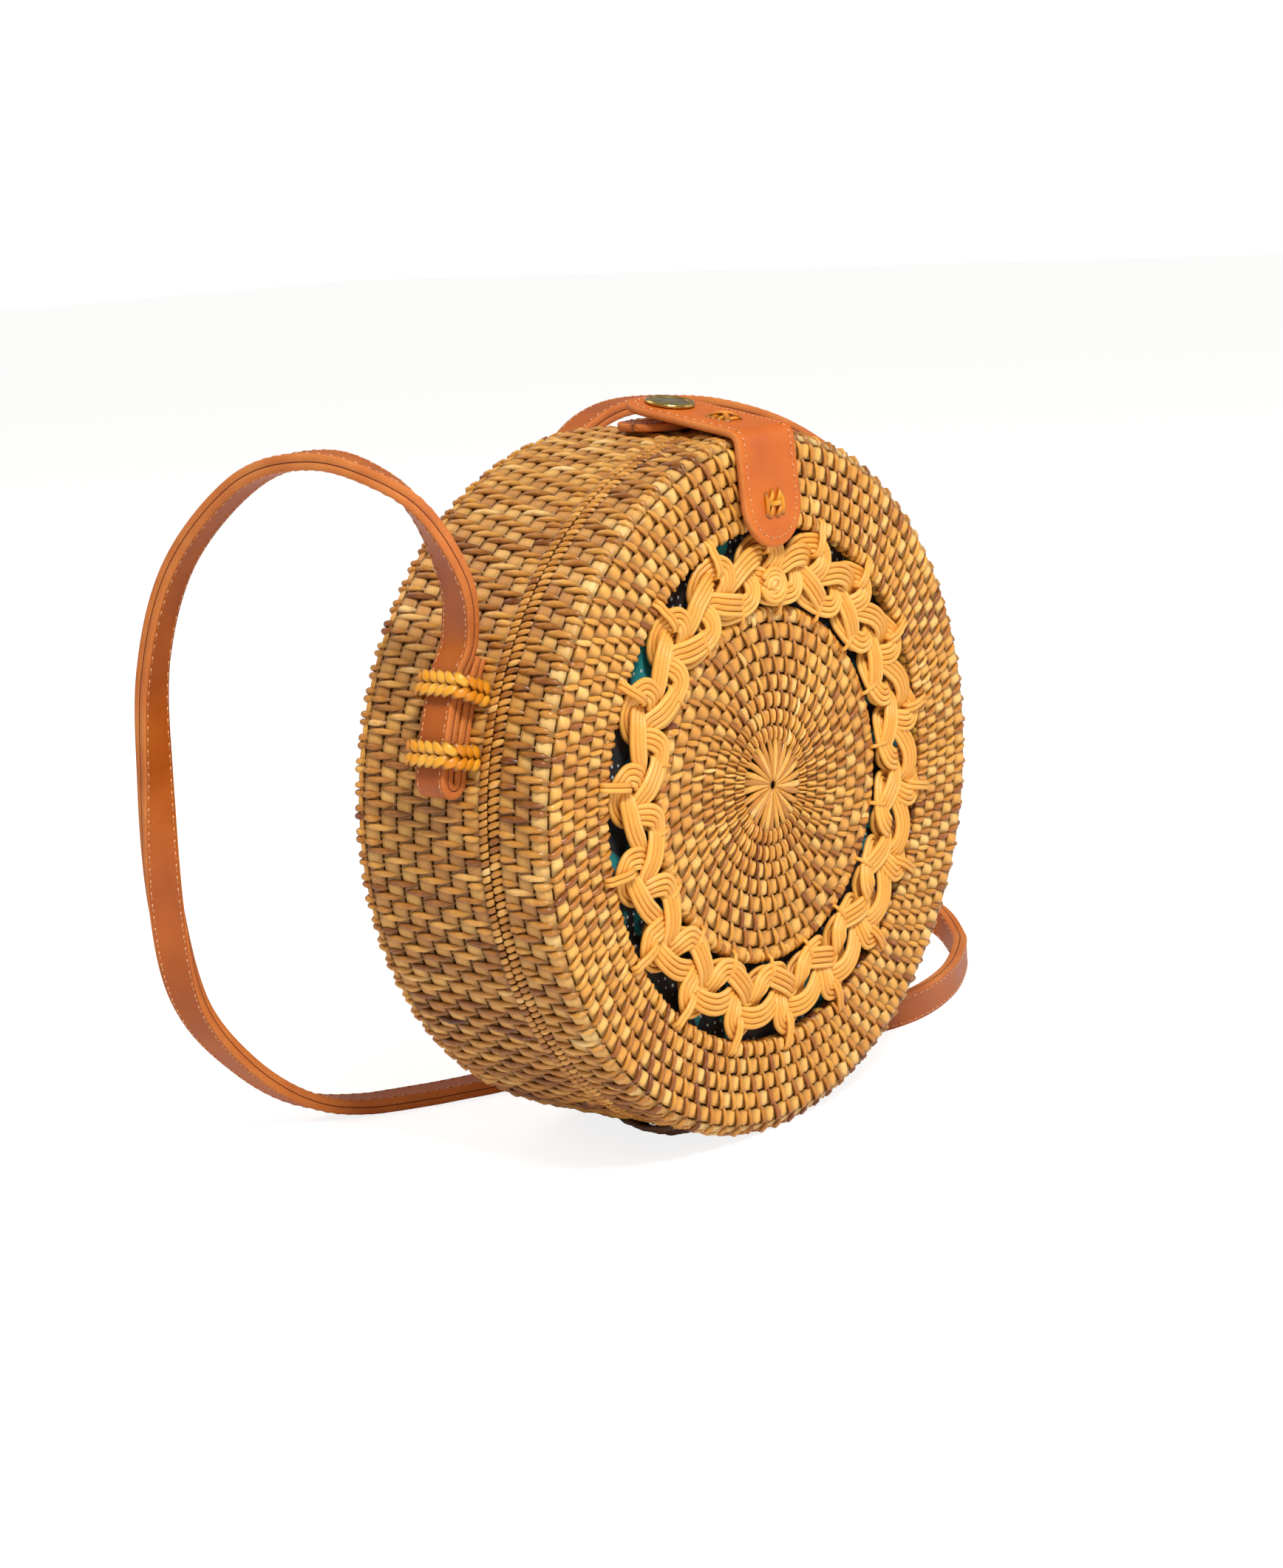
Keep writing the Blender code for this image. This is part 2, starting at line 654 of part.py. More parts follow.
def smooth_run(rows, step):
    """Points and width directions along a smooth curve through the rows."""
    places = [Vector(at) for at, lean in rows]
    leans = [Vector(lean) for at, lean in rows]
    result = []
    for i in range(1, len(places) - 2):
        before, start, end, after = places[i - 1:i + 3]
        count = max(1, round((end - start).length / step))
        for part in range(count):
            t = part / count
            at = 0.5 * (2 * start + (end - before) * t + (2 * before - 5 * start + 4 * end - after) * t ** 2
                        + (3 * start - before - 3 * end + after) * t ** 3)
            result.append((at, leans[i].lerp(leans[i + 1], t)))
    result.append((places[-2], leans[-2]))
    return result


def make_strap():
    """The strap from fold to fold, and the ties that lash it to the wall."""
    flat = Vector((0, 1, 0))
    left = [(at, flat) for at in strap_tail(-1)]
    right = [(at, flat) for at in reversed(strap_tail(1))]
    free = [(Vector(at) * bag_radius, Vector(lean)) for at, lean in strap_route_shares]
    run = smooth_run([left[-2], left[-1]] + free + [right[0], right[1]], strap_step)
    path = left[:-1] + run + right[1:]
    rows = []
    for i, (at, lean) in enumerate(path):
        ahead = path[min(i + 1, len(path) - 1)][0] - path[max(i - 1, 0)][0]
        ahead.normalize()
        width = (lean - ahead * lean.dot(ahead)).normalized() * strap_width / 2
        thick = ahead.cross(width).normalized() * strap_thickness / 2
        floor = Vector((0, 0, abs(width.z) + abs(thick.z) + fit_gap / 3))
        at = Vector((at.x, at.y, max(at.z, floor.z)))
        rows.append((at - width, at + width))
    ribbon("strap", rows, strap_thickness, "leather")
    length = sum((b[0] - a[0]).length for a, b in zip(path, path[1:]))
    print("strap length, folds included: %.3f m" % length)

    section = oval("tie_section", tie_half_height, tie_half_thickness)
    foot = drum_crest + fit_gap
    over = drum_crest + fit_gap + 2 * strap_thickness + fold_gap + tie_slack + tie_half_thickness
    side_y = strap_width / 2 + tie_slack + tie_half_thickness * 1.3
    for side, word in ((-1, "left"), (1, "right")):
        for height, angle in tie_angles.items():
            points = [(0, -side_y, foot), (0, -side_y, over - tie_half_thickness * 1.9)]
            points += [(0, -side_y + tie_half_thickness * 0.5, over - tie_half_thickness * 0.3)]
            points += [(0, 0, over + tie_half_thickness * 0.2)]
            points += [(x, -y, z) for x, y, z in reversed(points[:-1])]
            tie = swept("strap_tie_%s_%s" % (word, height), points, section, "raffia")
            tie.data.twist_mode = "MINIMUM"
            tie.location = (0, strap_centre_y, bag_radius)
            tie.rotation_euler = (0, side * (math.pi / 2 - angle), 0)


def main():
    for old in list(bpy.data.objects):
        bpy.data.objects.remove(old, do_unlink=True)
    bpy.context.scene.collection.children.link(collection)
    bpy.context.scene.collection.children.link(guides)
    lid_axis = bpy.data.objects.new("lid_axis", None)
    collection.objects.link(lid_axis)
    lid_axis.location = (0, seam_y, -axis_drop)
    make_drum(lid_axis)
    make_braid(lid_axis)
    make_closure(lid_axis)
    make_hinges(lid_axis)
    make_strap()


main()
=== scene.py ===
# Round rattan bag with a braid ring: its looks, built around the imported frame.
import bisect
import math
import random

import bmesh
import bpy
from mathutils import Matrix, Vector


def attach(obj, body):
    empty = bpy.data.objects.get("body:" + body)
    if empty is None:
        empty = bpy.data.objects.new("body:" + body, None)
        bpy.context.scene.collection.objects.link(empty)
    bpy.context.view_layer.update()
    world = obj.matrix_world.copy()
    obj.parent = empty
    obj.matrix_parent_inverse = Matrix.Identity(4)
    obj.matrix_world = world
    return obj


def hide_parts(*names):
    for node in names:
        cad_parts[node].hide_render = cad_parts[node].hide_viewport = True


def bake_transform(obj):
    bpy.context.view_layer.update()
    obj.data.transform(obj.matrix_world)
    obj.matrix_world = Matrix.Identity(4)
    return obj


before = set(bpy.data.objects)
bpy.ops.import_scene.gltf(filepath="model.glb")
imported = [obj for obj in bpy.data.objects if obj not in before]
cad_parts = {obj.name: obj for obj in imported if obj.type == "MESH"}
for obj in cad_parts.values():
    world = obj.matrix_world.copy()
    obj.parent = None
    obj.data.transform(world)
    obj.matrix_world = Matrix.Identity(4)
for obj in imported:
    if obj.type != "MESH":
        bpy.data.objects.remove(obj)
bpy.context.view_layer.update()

# shared places of the frame, in metres
bag = {
    "radius": 0.1005,
    "centre": Vector((0, 0, 0.1005)),
    "front": -0.035,
    "back": 0.035,
    "seam": -0.015,
    "cornerRound": 0.0038,
    "innerRadius": 0.0955,
    "floor": -0.0010,  # the weave stands this far proud of the solids, so it rests here
    "sink": 0.00045,  # the rings' tops lie this far under the solids' ribs, and the weavers rise above them
    "skin": 0.10005,  # the drum's radius less that sink
}
mm = 0.001

# camera at the photograph's place, found by a fit of the drum's outline
camera = {"azimuth": -50.34, "elevation": 11.26, "roll": -3.13, "distance": 0.90,
          "right": -0.0111, "up": -0.0025, "lens": 86.29}
turn = math.radians(camera["azimuth"])
rise = math.radians(camera["elevation"])
roll = math.radians(camera["roll"])
away = Vector((math.sin(turn) * math.cos(rise), -math.cos(turn) * math.cos(rise), math.sin(rise)))
rightward = (-away).cross(Vector((0, 0, 1))).normalized()
upward = rightward.cross(-away)
rolledRight = rightward * math.cos(roll) + upward * math.sin(roll)
rolledUp = upward * math.cos(roll) - rightward * math.sin(roll)
spot = bag["centre"] + away * camera["distance"] + rolledRight * camera["right"] + rolledUp * camera["up"]
lensData = bpy.data.cameras.new("camera")
lensData.lens = camera["lens"]
lensData.sensor_fit = "HORIZONTAL"
lensData.clip_start = 0.01
cameraObject = bpy.data.objects.new("camera", lensData)
bpy.context.scene.collection.objects.link(cameraObject)
cameraObject.matrix_world = Matrix((rolledRight, rolledUp, away)).transposed().to_4x4()
cameraObject.matrix_world.translation = spot
bpy.context.scene.camera = cameraObject
print("camera placed")


def linear(hexColour):  # sRGB hex to linear
    parts = [int(hexColour[i:i + 2], 16) / 255 for i in (1, 3, 5)]
    return [p / 12.92 if p <= 0.04045 else ((p + 0.055) / 1.055) ** 2.4 for p in parts] + [1.0]


def addNode(tree, kind, settings=None, links=None):
    node = tree.nodes.new(kind)
    for key, value in (settings or {}).items():
        if key == "stops":
            ramp = node.color_ramp
            while len(ramp.elements) < len(value):
                ramp.elements.new(0.5)
            for element, (position, colour) in zip(ramp.elements, value):
                element.position = position
                element.color = linear(colour)
        elif isinstance(key, int) or key in node.inputs:
            node.inputs[key].default_value = value
        else:
            setattr(node, key, value)
    for key, source in (links or {}).items():
        tree.links.new(source, node.inputs[key])
    return node


def newMaterial(name):  # an empty material and its node tree
    material = bpy.data.materials.new(name)
    material.use_nodes = True
    material.node_tree.nodes.clear()
    return material, material.node_tree


def overObject(tree, kind, size, settings=None):  # a texture laid over the object, its size in millimetres
    place = addNode(tree, "ShaderNodeTexCoord")
    return addNode(tree, kind, dict(settings or {}, Scale=1000 / size), {"Vector": place.outputs["Object"]})


def roughFrom(tree, source, roughness, less, more):  # a roughness that varies with a texture
    return addNode(tree, "ShaderNodeMapRange", {"From Min": 0.3, "From Max": 0.7, "To Min": roughness - less,
                                                "To Max": roughness + more}, {"Value": source})


def bumpFrom(tree, source, strength, distance=0.0001):
    return addNode(tree, "ShaderNodeBump", {"Strength": strength, "Distance": distance}, {"Height": source})


def finishMaterial(tree, settings, links):  # the surface shader and the output
    shader = addNode(tree, "ShaderNodeBsdfPrincipled", settings, links)
    addNode(tree, "ShaderNodeOutputMaterial", {}, {"Surface": shader.outputs[0]})


def caneMaterial(name, look):
    # Rattan cane. Split fibre lines run along every strand, and each strand has its own tone. The ends that dip under
    # a neighbour and the strands' lower sides are darkened towards the gap colour as painted shade, read from the
    # crest attribute, which is what makes a weave read as rows of separate strips.
    material, tree = newMaterial(name)
    grain = addNode(tree, "ShaderNodeAttribute", {"attribute_name": "grain"})
    tone = addNode(tree, "ShaderNodeAttribute", {"attribute_name": "tone"})
    crest = addNode(tree, "ShaderNodeAttribute", {"attribute_name": "crest"})
    # fibre lines 0.2 to 0.4 mm apart and about 8 mm long, along the strand's own length and width
    stretched = addNode(tree, "ShaderNodeVectorMath",
                        {"operation": "MULTIPLY", 1: (1000 / 8, 1000 / look["fibreMm"], 97.0)},
                        {0: grain.outputs["Vector"]})
    fibres = addNode(tree, "ShaderNodeTexNoise", {"Scale": 1.0, "Detail": 2.0, "Roughness": 0.6},
                     {"Vector": stretched.outputs[0]})
    # knots and stains 3 mm across
    blotchAt = addNode(tree, "ShaderNodeVectorMath", {"operation": "MULTIPLY", 1: (1000 / 3, 1000 / 3, 31.0)},
                       {0: grain.outputs["Vector"]})
    blotches = addNode(tree, "ShaderNodeTexNoise", {"Scale": 1.0, "Detail": 2.0}, {"Vector": blotchAt.outputs[0]})
    shifted = addNode(tree, "ShaderNodeMath",
                      {"operation": "MULTIPLY_ADD", 1: look["blotch"], 2: -look["blotch"] / 2},
                      {0: blotches.outputs["Fac"]})
    streaked = addNode(tree, "ShaderNodeMath",
                       {"operation": "MULTIPLY_ADD", 1: look["streak"], 2: -look["streak"] / 2},
                       {0: fibres.outputs["Fac"]})
    mixed = addNode(tree, "ShaderNodeMath", {"operation": "ADD"}, {0: shifted.outputs[0], 1: streaked.outputs[0]})
    summed = addNode(tree, "ShaderNodeMath", {"operation": "ADD", "use_clamp": True},
                     {0: tone.outputs["Fac"], 1: mixed.outputs[0]})
    ramp = addNode(tree, "ShaderNodeValToRGB", {"stops": look["tones"]}, {"Fac": summed.outputs[0]})
    # painted shade: where the crest attribute is low, the colour is mixed towards the look's gap colour, which stands
    # for shade
    depth = addNode(tree, "ShaderNodeMapRange", {"From Min": 0.0, "From Max": look["shadeTo"],
                                                 "To Min": look["shade"], "To Max": 0.0},
                    {"Value": crest.outputs["Fac"]})
    shaded = addNode(tree, "ShaderNodeMix", {"data_type": "RGBA", 7: linear(look["gap"])},
                     {0: depth.outputs[0], 6: ramp.outputs["Color"]})
    rough = roughFrom(tree, fibres.outputs["Fac"], look["roughness"], 0.07, 0.1)
    bump = bumpFrom(tree, fibres.outputs["Fac"], look["bump"], 0.00012)
    finishMaterial(tree, {"IOR": 1.5, "Metallic": 0.0},
                   {"Base Color": shaded.outputs[2], "Roughness": rough.outputs[0], "Normal": bump.outputs[0]})
    return material


# weaver cane: split rattan skin, smoked and oiled, a satin brown that turns golden where it is rubbed
weaverWall = caneMaterial("rattan_split_smoked_woven_wall", {
    "tones": [(0.0, "#62300E"), (0.25, "#94561C"), (0.5, "#C28030"), (0.75, "#E0A24A"), (1.0, "#F8D08A")],
    "fibreMm": 0.22, "blotch": 0.40, "streak": 0.42, "gap": "#3A1C0A", "shade": 0.92, "shadeTo": 0.85,
    "roughness": 0.32, "bump": 0.4})
weaverFace = caneMaterial("rattan_split_smoked_woven_face", {
    "tones": [(0.0, "#6C3416"), (0.25, "#A05C22"), (0.5, "#CC862E"), (0.75, "#E8A844"), (1.0, "#FBD284")],
    "fibreMm": 0.22, "blotch": 0.36, "streak": 0.38, "gap": "#4A220C", "shade": 0.85, "shadeTo": 0.75,
    "roughness": 0.33, "bump": 0.4})
# ring cane: split rattan core, unstained, pale yellow with fine straight fibre lines and less gloss
ringWall = caneMaterial("rattan_core_split_wall", {
    "tones": [(0.0, "#A0622A"), (0.35, "#C48640"), (0.7, "#DEA552"), (1.0, "#F0C478")],
    "fibreMm": 0.26, "blotch": 0.22, "streak": 0.50, "gap": "#3A1C0A", "shade": 0.92, "shadeTo": 0.9,
    "roughness": 0.48, "bump": 0.5})
ringFace = caneMaterial("rattan_core_split_face", {
    "tones": [(0.0, "#B46C28"), (0.35, "#DA943C"), (0.7, "#EFB052"), (1.0, "#FACE7C")],
    "fibreMm": 0.26, "blotch": 0.22, "streak": 0.40, "gap": "#4A220C", "shade": 0.92, "shadeTo": 0.8,
    "roughness": 0.42, "bump": 0.5})
# braid cane: peeled round rattan, smooth and golden with a soft sheen
braidCane = caneMaterial("rattan_peeled_round_polished", {
    "tones": [(0.0, "#D68C2E"), (0.3, "#E69E3C"), (0.6, "#F0B14E"), (1.0, "#F8CB7C")],
    "fibreMm": 0.30, "blotch": 0.20, "streak": 0.22, "gap": "#8A4612", "shade": 0.7, "shadeTo": 0.45,
    "roughness": 0.40, "bump": 0.2})
# dark core behind the weave, painted shade: the ring sticks seen through the gaps, coloured near black brown for the
# shade inside the weave
coreDark = caneMaterial("rattan_core_painted_shade", {
    "tones": [(0.0, "#241006"), (1.0, "#4A2610")], "fibreMm": 0.4, "blotch": 0.5, "streak": 0.5, "gap": "#2E180A",
    "shade": 0.0, "shadeTo": 1.0, "roughness": 0.7, "bump": 0.4})
# lashing: waxed rattan strip, dyed orange and glossy, with painted shade where it folds
lashing = caneMaterial("rattan_strip_dyed_waxed", {
    "tones": [(0.0, "#A4560A"), (0.4, "#D88210"), (0.7, "#E8981A"), (1.0, "#F5B53E")],
    "fibreMm": 0.25, "blotch": 0.35, "streak": 0.35, "gap": "#5A2804", "shade": 0.92, "shadeTo": 0.8,
    "roughness": 0.32, "bump": 0.4})
# hinge loops: split rattan, rough, coloured dark brown as painted shade for the shade under the bag
hingeCane = caneMaterial("rattan_split_painted_shade_rough", {
    "tones": [(0.0, "#2E1708"), (0.5, "#54301A"), (1.0, "#7A4A26")], "fibreMm": 0.3, "blotch": 0.5, "streak": 0.4,
    "gap": "#1E0E05", "shade": 0.8, "shadeTo": 0.7, "roughness": 0.55, "bump": 0.6})


def leatherMaterial(name, look):
    # Vegetable tanned cowhide. The face is smooth with a satin coat and faint pores, and the cut edge is
    # lighter, dry and fibrous, which shows how thick the leather is.
    material, tree = newMaterial(name)
    # shades of the dye, 15 mm across
    clouds = overObject(tree, "ShaderNodeTexNoise", 15, {"Detail": 3.0})
    # fibres or pores of the hide, in millimetres
    pores = overObject(tree, "ShaderNodeTexNoise", look["poreMm"], {"Detail": 4.0, "Roughness": 0.65})
    cells = overObject(tree, "ShaderNodeTexVoronoi", look["cellMm"], {"feature": "DISTANCE_TO_EDGE"})
    ramp = addNode(tree, "ShaderNodeValToRGB", {"stops": look["tones"]}, {"Fac": clouds.outputs["Fac"]})
    speck = addNode(tree, "ShaderNodeMapRange", {"From Min": 0.35, "From Max": 0.65, "To Min": look["speck"],
                                                 "To Max": 0.0}, {"Value": pores.outputs["Fac"]})
    colour = addNode(tree, "ShaderNodeMix", {"data_type": "RGBA", 7: linear(look["dark"])},
                     {0: speck.outputs[0], 6: ramp.outputs["Color"]})
    height = addNode(tree, "ShaderNodeMath", {"operation": "MULTIPLY_ADD", 1: look["poreHeight"]},
                     {0: pores.outputs["Fac"], 2: cells.outputs["Distance"]})
    rough = roughFrom(tree, clouds.outputs["Fac"], look["roughness"], 0.05, 0.08)
    bump = bumpFrom(tree, height.outputs[0], look["bump"])
    finishMaterial(tree, {"IOR": 1.48, "Metallic": 0.0},
                   {"Base Color": colour.outputs[2], "Roughness": rough.outputs[0], "Normal": bump.outputs[0]})
    return material


leatherFace = leatherMaterial("cowhide_tanned_dyed_satin", {
    "tones": [(0.25, "#C65A08"), (0.5, "#D2660C"), (0.75, "#DC7416")], "dark": "#A84806", "speck": 0.22,
    "poreMm": 0.5, "cellMm": 0.9, "poreHeight": 0.25, "roughness": 0.48, "bump": 0.12})
# the strap's face, darker than the closure's leather: partly its own colour, partly painted shade for the face turned
# from the light
strapFace = leatherMaterial("cowhide_tanned_dyed_strap_partly_painted_shade", {
    "tones": [(0.25, "#A24A08"), (0.5, "#B2560C"), (0.75, "#C06412")], "dark": "#7E3406", "speck": 0.25,
    "poreMm": 0.5, "cellMm": 0.9, "poreHeight": 0.25, "roughness": 0.46, "bump": 0.12})
leatherEdge = leatherMaterial("cowhide_cut_edge_raw", {
    "tones": [(0.25, "#C86A26"), (0.5, "#D87C34"), (0.75, "#E48E46")], "dark": "#9A4814", "speck": 0.5,
    "poreMm": 0.28, "cellMm": 0.4, "poreHeight": 1.2, "roughness": 0.72, "bump": 0.7})
seamDark = leatherMaterial("cowhide_seam_shadow", {
    "tones": [(0.25, "#6A2C0C"), (0.75, "#7E3812")], "dark": "#4A1C06", "speck": 0.4,
    "poreMm": 0.28, "cellMm": 0.4, "poreHeight": 1.0, "roughness": 0.8, "bump": 0.5})


def threadMaterial():
    # waxed polyester thread, twisted in two plies, a light peach against the leather
    material, tree = newMaterial("polyester_thread_waxed_twisted")
    grain = addNode(tree, "ShaderNodeAttribute", {"attribute_name": "grain"})
    # plies 0.3 mm long, laid at a slant
    slanted = addNode(tree, "ShaderNodeVectorMath", {"operation": "DOT_PRODUCT", 1: (1000 / 0.3, 1000 / 0.3, 0.0)},
                      {0: grain.outputs["Vector"]})
    plies = addNode(tree, "ShaderNodeMath", {"operation": "SINE"}, {0: slanted.outputs["Value"]})
    # painted shade: the colour follows the ply's height, darker in the grooves between plies
    ramp = addNode(tree, "ShaderNodeValToRGB", {"stops": [(0.0, "#B86C34"), (0.5, "#DE9E68"), (1.0, "#ECB888")]},
                   {"Fac": plies.outputs[0]})
    bump = bumpFrom(tree, plies.outputs[0], 0.5)
    finishMaterial(tree, {"Roughness": 0.5, "IOR": 1.5},
                   {"Base Color": ramp.outputs["Color"], "Normal": bump.outputs[0]})
    return material


thread = threadMaterial()


def brassMaterial(name, look):
    # Stamped brass. The antique one is darkened and then rubbed back, so it is cloudy, and the rim is bright.
    material, tree = newMaterial(name)
    clouds = overObject(tree, "ShaderNodeTexNoise", 2.5, {"Detail": 4.0})
    scratches = overObject(tree, "ShaderNodeTexNoise", 0.4, {"Detail": 3.0, "Distortion": 1.5})
    ramp = addNode(tree, "ShaderNodeValToRGB", {"stops": look["tones"]}, {"Fac": clouds.outputs["Fac"]})
    rough = roughFrom(tree, scratches.outputs["Fac"], look["roughness"], 0.06, 0.1)
    bump = bumpFrom(tree, scratches.outputs["Fac"], 0.08)
    finishMaterial(tree, {"Metallic": 1.0},
                   {"Base Color": ramp.outputs["Color"], "Roughness": rough.outputs[0], "Normal": bump.outputs[0]})
    return material


brassAntique = brassMaterial("brass_stamped_antiqued", {
    "tones": [(0.3, "#857A5A"), (0.5, "#A99D78"), (0.7, "#C6BA92")], "roughness": 0.36})
brassBright = brassMaterial("brass_stamped_polished", {
    "tones": [(0.3, "#B4924C"), (0.6, "#CFB067"), (0.8, "#E0C684")], "roughness": 0.22})


def clothMaterial():
    # Cotton lining, plain woven and printed all over: teal patches and rows of white dots on near black.
    material, tree = newMaterial("cotton_plain_woven_printed")
    # large teal and brown patches, about 14 mm across
    patches = overObject(tree, "ShaderNodeTexNoise", 14, {"Detail": 1.0, "Distortion": 0.6})
    ground = addNode(tree, "ShaderNodeValToRGB",
                     {"stops": [(0.0, "#3A231A"), (0.40, "#241A18"), (0.43, "#0D1214"), (0.56, "#0E1416"),
                                (0.58, "#0E8288"), (0.66, "#12A0A0"), (0.69, "#0A2A30")]},
                     {"Fac": patches.outputs["Fac"]})
    # white dots 3 mm apart in rows, each 0.9 mm across
    dots = overObject(tree, "ShaderNodeTexVoronoi", 3.0, {"Randomness": 0.25})
    dotMask = addNode(tree, "ShaderNodeMath", {"operation": "LESS_THAN", 1: 0.17}, {0: dots.outputs["Distance"]})
    bands = overObject(tree, "ShaderNodeTexWave", 60,
                       {"Distortion": 2.0, "Detail": 0.0, "bands_direction": "DIAGONAL"})
    bandMask = addNode(tree, "ShaderNodeMath", {"operation": "GREATER_THAN", 1: 0.62}, {0: bands.outputs["Fac"]})
    both = addNode(tree, "ShaderNodeMath", {"operation": "MULTIPLY"}, {0: dotMask.outputs[0], 1: bandMask.outputs[0]})
    printed = addNode(tree, "ShaderNodeMix", {"data_type": "RGBA", 7: linear("#D8DEDC")},
                      {0: both.outputs[0], 6: ground.outputs["Color"]})
    # threads of the plain weave, 0.35 mm apart
    weave = overObject(tree, "ShaderNodeTexChecker", 0.35)
    bump = bumpFrom(tree, weave.outputs["Fac"], 0.3)
    finishMaterial(tree, {"Roughness": 0.85, "Sheen Weight": 0.15},
                   {"Base Color": printed.outputs[2], "Normal": bump.outputs[0]})
    return material


cotton = clothMaterial()
print("materials made")


def newShape():
    return {"points": [], "faces": [], "tone": [], "crest": [], "grain": [], "slots": []}


def joinRows(shape, first, rows, size, slots, closed=True):  # faces between each row of points and the next
    spans = rows if closed else rows - 1
    for row in range(spans):
        here = first + row * size
        there = first + (row + 1) % rows * size
        for k in range(size):
            after = (k + 1) % size
            shape["faces"].append((here + k, here + after, there + after, there + k))
    shape["slots"] += slots * spans


def plainInto(shape):  # one tone all over, and the grain in metres of the object
    shape["tone"] = [0.5] * len(shape["points"])
    shape["crest"] = [1.0] * len(shape["points"])
    shape["grain"] = [tuple(p) for p in shape["points"]]


def sweepInto(shape, stations, section, tone, seed, paintedLightLevels=None, closed=False, slots=None):
    # stations are (middle, side, up) with side and up as long as the half width and half height there
    first = len(shape["points"])
    size = len(section)
    run = 0.0
    for number, (middle, side, up) in enumerate(stations):
        if number:
            run += (middle - stations[number - 1][0]).length
        wide = side.length
        for u, v in section:
            shape["points"].append(middle + side * u + up * v)
            shape["tone"].append(tone)
            # painted shade: the crest falls on the lower half of the section, so the strand's underside is painted
            # darker
            shape["crest"].append((paintedLightLevels[number] if paintedLightLevels else 1.0) * (0.55 + 0.45 * max(v, 0.0)))
            shape["grain"].append((run, u * wide + 0.3 * v * wide, seed))
    slots = slots or [0] * size
    joinRows(shape, first, len(stations), size, slots, closed)
    if not closed:
        last = first + (len(stations) - 1) * size
        shape["faces"] += [tuple(first + k for k in reversed(range(size))), tuple(last + k for k in range(size))]
        shape["slots"] += slots[:1] * 2


def coreInto(shape, outline):
    # dark core behind a weave, coloured as painted shade: a closed outline of (radius, y) turned about the drum's
    # axis
    steps = 96
    first = len(shape["points"])
    for step in range(steps):
        angle = 2 * math.pi * step / steps
        for radius, y in outline:
            shape["points"].append(drumPoint(radius, angle, y))
            shape["grain"].append((radius * angle, y, 0.0))
    shape["tone"] += [0.5] * steps * len(outline)
    shape["crest"] += [1.0] * steps * len(outline)
    joinRows(shape, first, steps, len(outline), [2] * len(outline))


def makePiece(name, shape, materials, body, nodes):  # a mesh object from a shape with its materials, attached to a body, with the frame's parts in nodes hidden
    mesh = bpy.data.meshes.new(name)
    mesh.from_pydata(shape["points"], [], shape["faces"])
    for material in materials:
        mesh.materials.append(material)
    mesh.polygons.foreach_set("material_index", shape["slots"])
    for key in ("tone", "crest"):
        mesh.attributes.new(key, "FLOAT", "POINT").data.foreach_set("value", shape[key])
    flatGrain = [x for at in shape["grain"] for x in at]
    mesh.attributes.new("grain", "FLOAT_VECTOR", "POINT").data.foreach_set("vector", flatGrain)
    work = bmesh.new()
    work.from_mesh(mesh)
    bmesh.ops.recalc_face_normals(work, faces=work.faces)
    work.to_mesh(mesh)
    work.free()
    mesh.polygons.foreach_set("use_smooth", [True] * len(mesh.polygons))
    piece = bpy.data.objects.new(name, mesh)
    bpy.context.scene.collection.objects.link(piece)
    if body:
        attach(piece, body)
    if nodes:
        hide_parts(*nodes)
    return piece


def drumPoint(radius, angle, y):
    return Vector((radius * math.cos(angle), y, bag["centre"].z + radius * math.sin(angle)))


def spokeAt(angle):
    return Vector((math.cos(angle), 0, math.sin(angle)))


def tangentAt(angle):
    return Vector((-math.sin(angle), 0, math.cos(angle)))


def lengthsOf(line):  # distances along a line of flat points
    lengths = [0.0]
    for (x0, y0), (x1, y1) in zip(line, line[1:]):
        lengths.append(lengths[-1] + math.hypot(x1 - x0, y1 - y0))
    return lengths


def spanAt(lengths, distance):  # the span that a distance falls in, and the share of the way through it
    k = min(max(bisect.bisect_right(lengths, distance) - 1, 0), len(lengths) - 2)
    return k, (distance - lengths[k]) / (lengths[k + 1] - lengths[k])


def profileOf(corners):
    # a path of (radius, y) points with its length, for a weave that follows the drum's side
    lengths = lengthsOf(corners)

    def at(s):
        k, t = spanAt(lengths, min(max(s, 0.0), lengths[-1]))
        r = corners[k][0] + (corners[k + 1][0] - corners[k][0]) * t
        y = corners[k][1] + (corners[k + 1][1] - corners[k][1]) * t
        return r, y

    return at, lengths[-1]


def weaveFrame(at, s, angle, outward):
    # point, direction round the drum and outward direction, from the path 0.8 mm to each side
    r0, y0 = at(s - 0.8 * mm)
    r1, y1 = at(s + 0.8 * mm)
    along = Vector((r1 - r0, y1 - y0)).normalized()
    r, y = at(s)
    normal = (spokeAt(angle) * along.y + Vector((0, -along.x, 0))) * outward
    return drumPoint(r, angle, y), tangentAt(angle), normal


floatSection = [(-1, -0.35), (-0.80, 0.60), (-0.30, 0.97), (0.30, 0.97), (0.80, 0.60), (1, -0.35)]
plumpSection = [(-1, -0.4), (-0.88, 0.30), (-0.52, 0.82), (0, 1.0), (0.52, 0.82), (0.88, 0.30), (1, -0.4)]
floatSteps = [0.0, 0.10, 0.27, 0.5, 0.73, 0.90, 1.0]


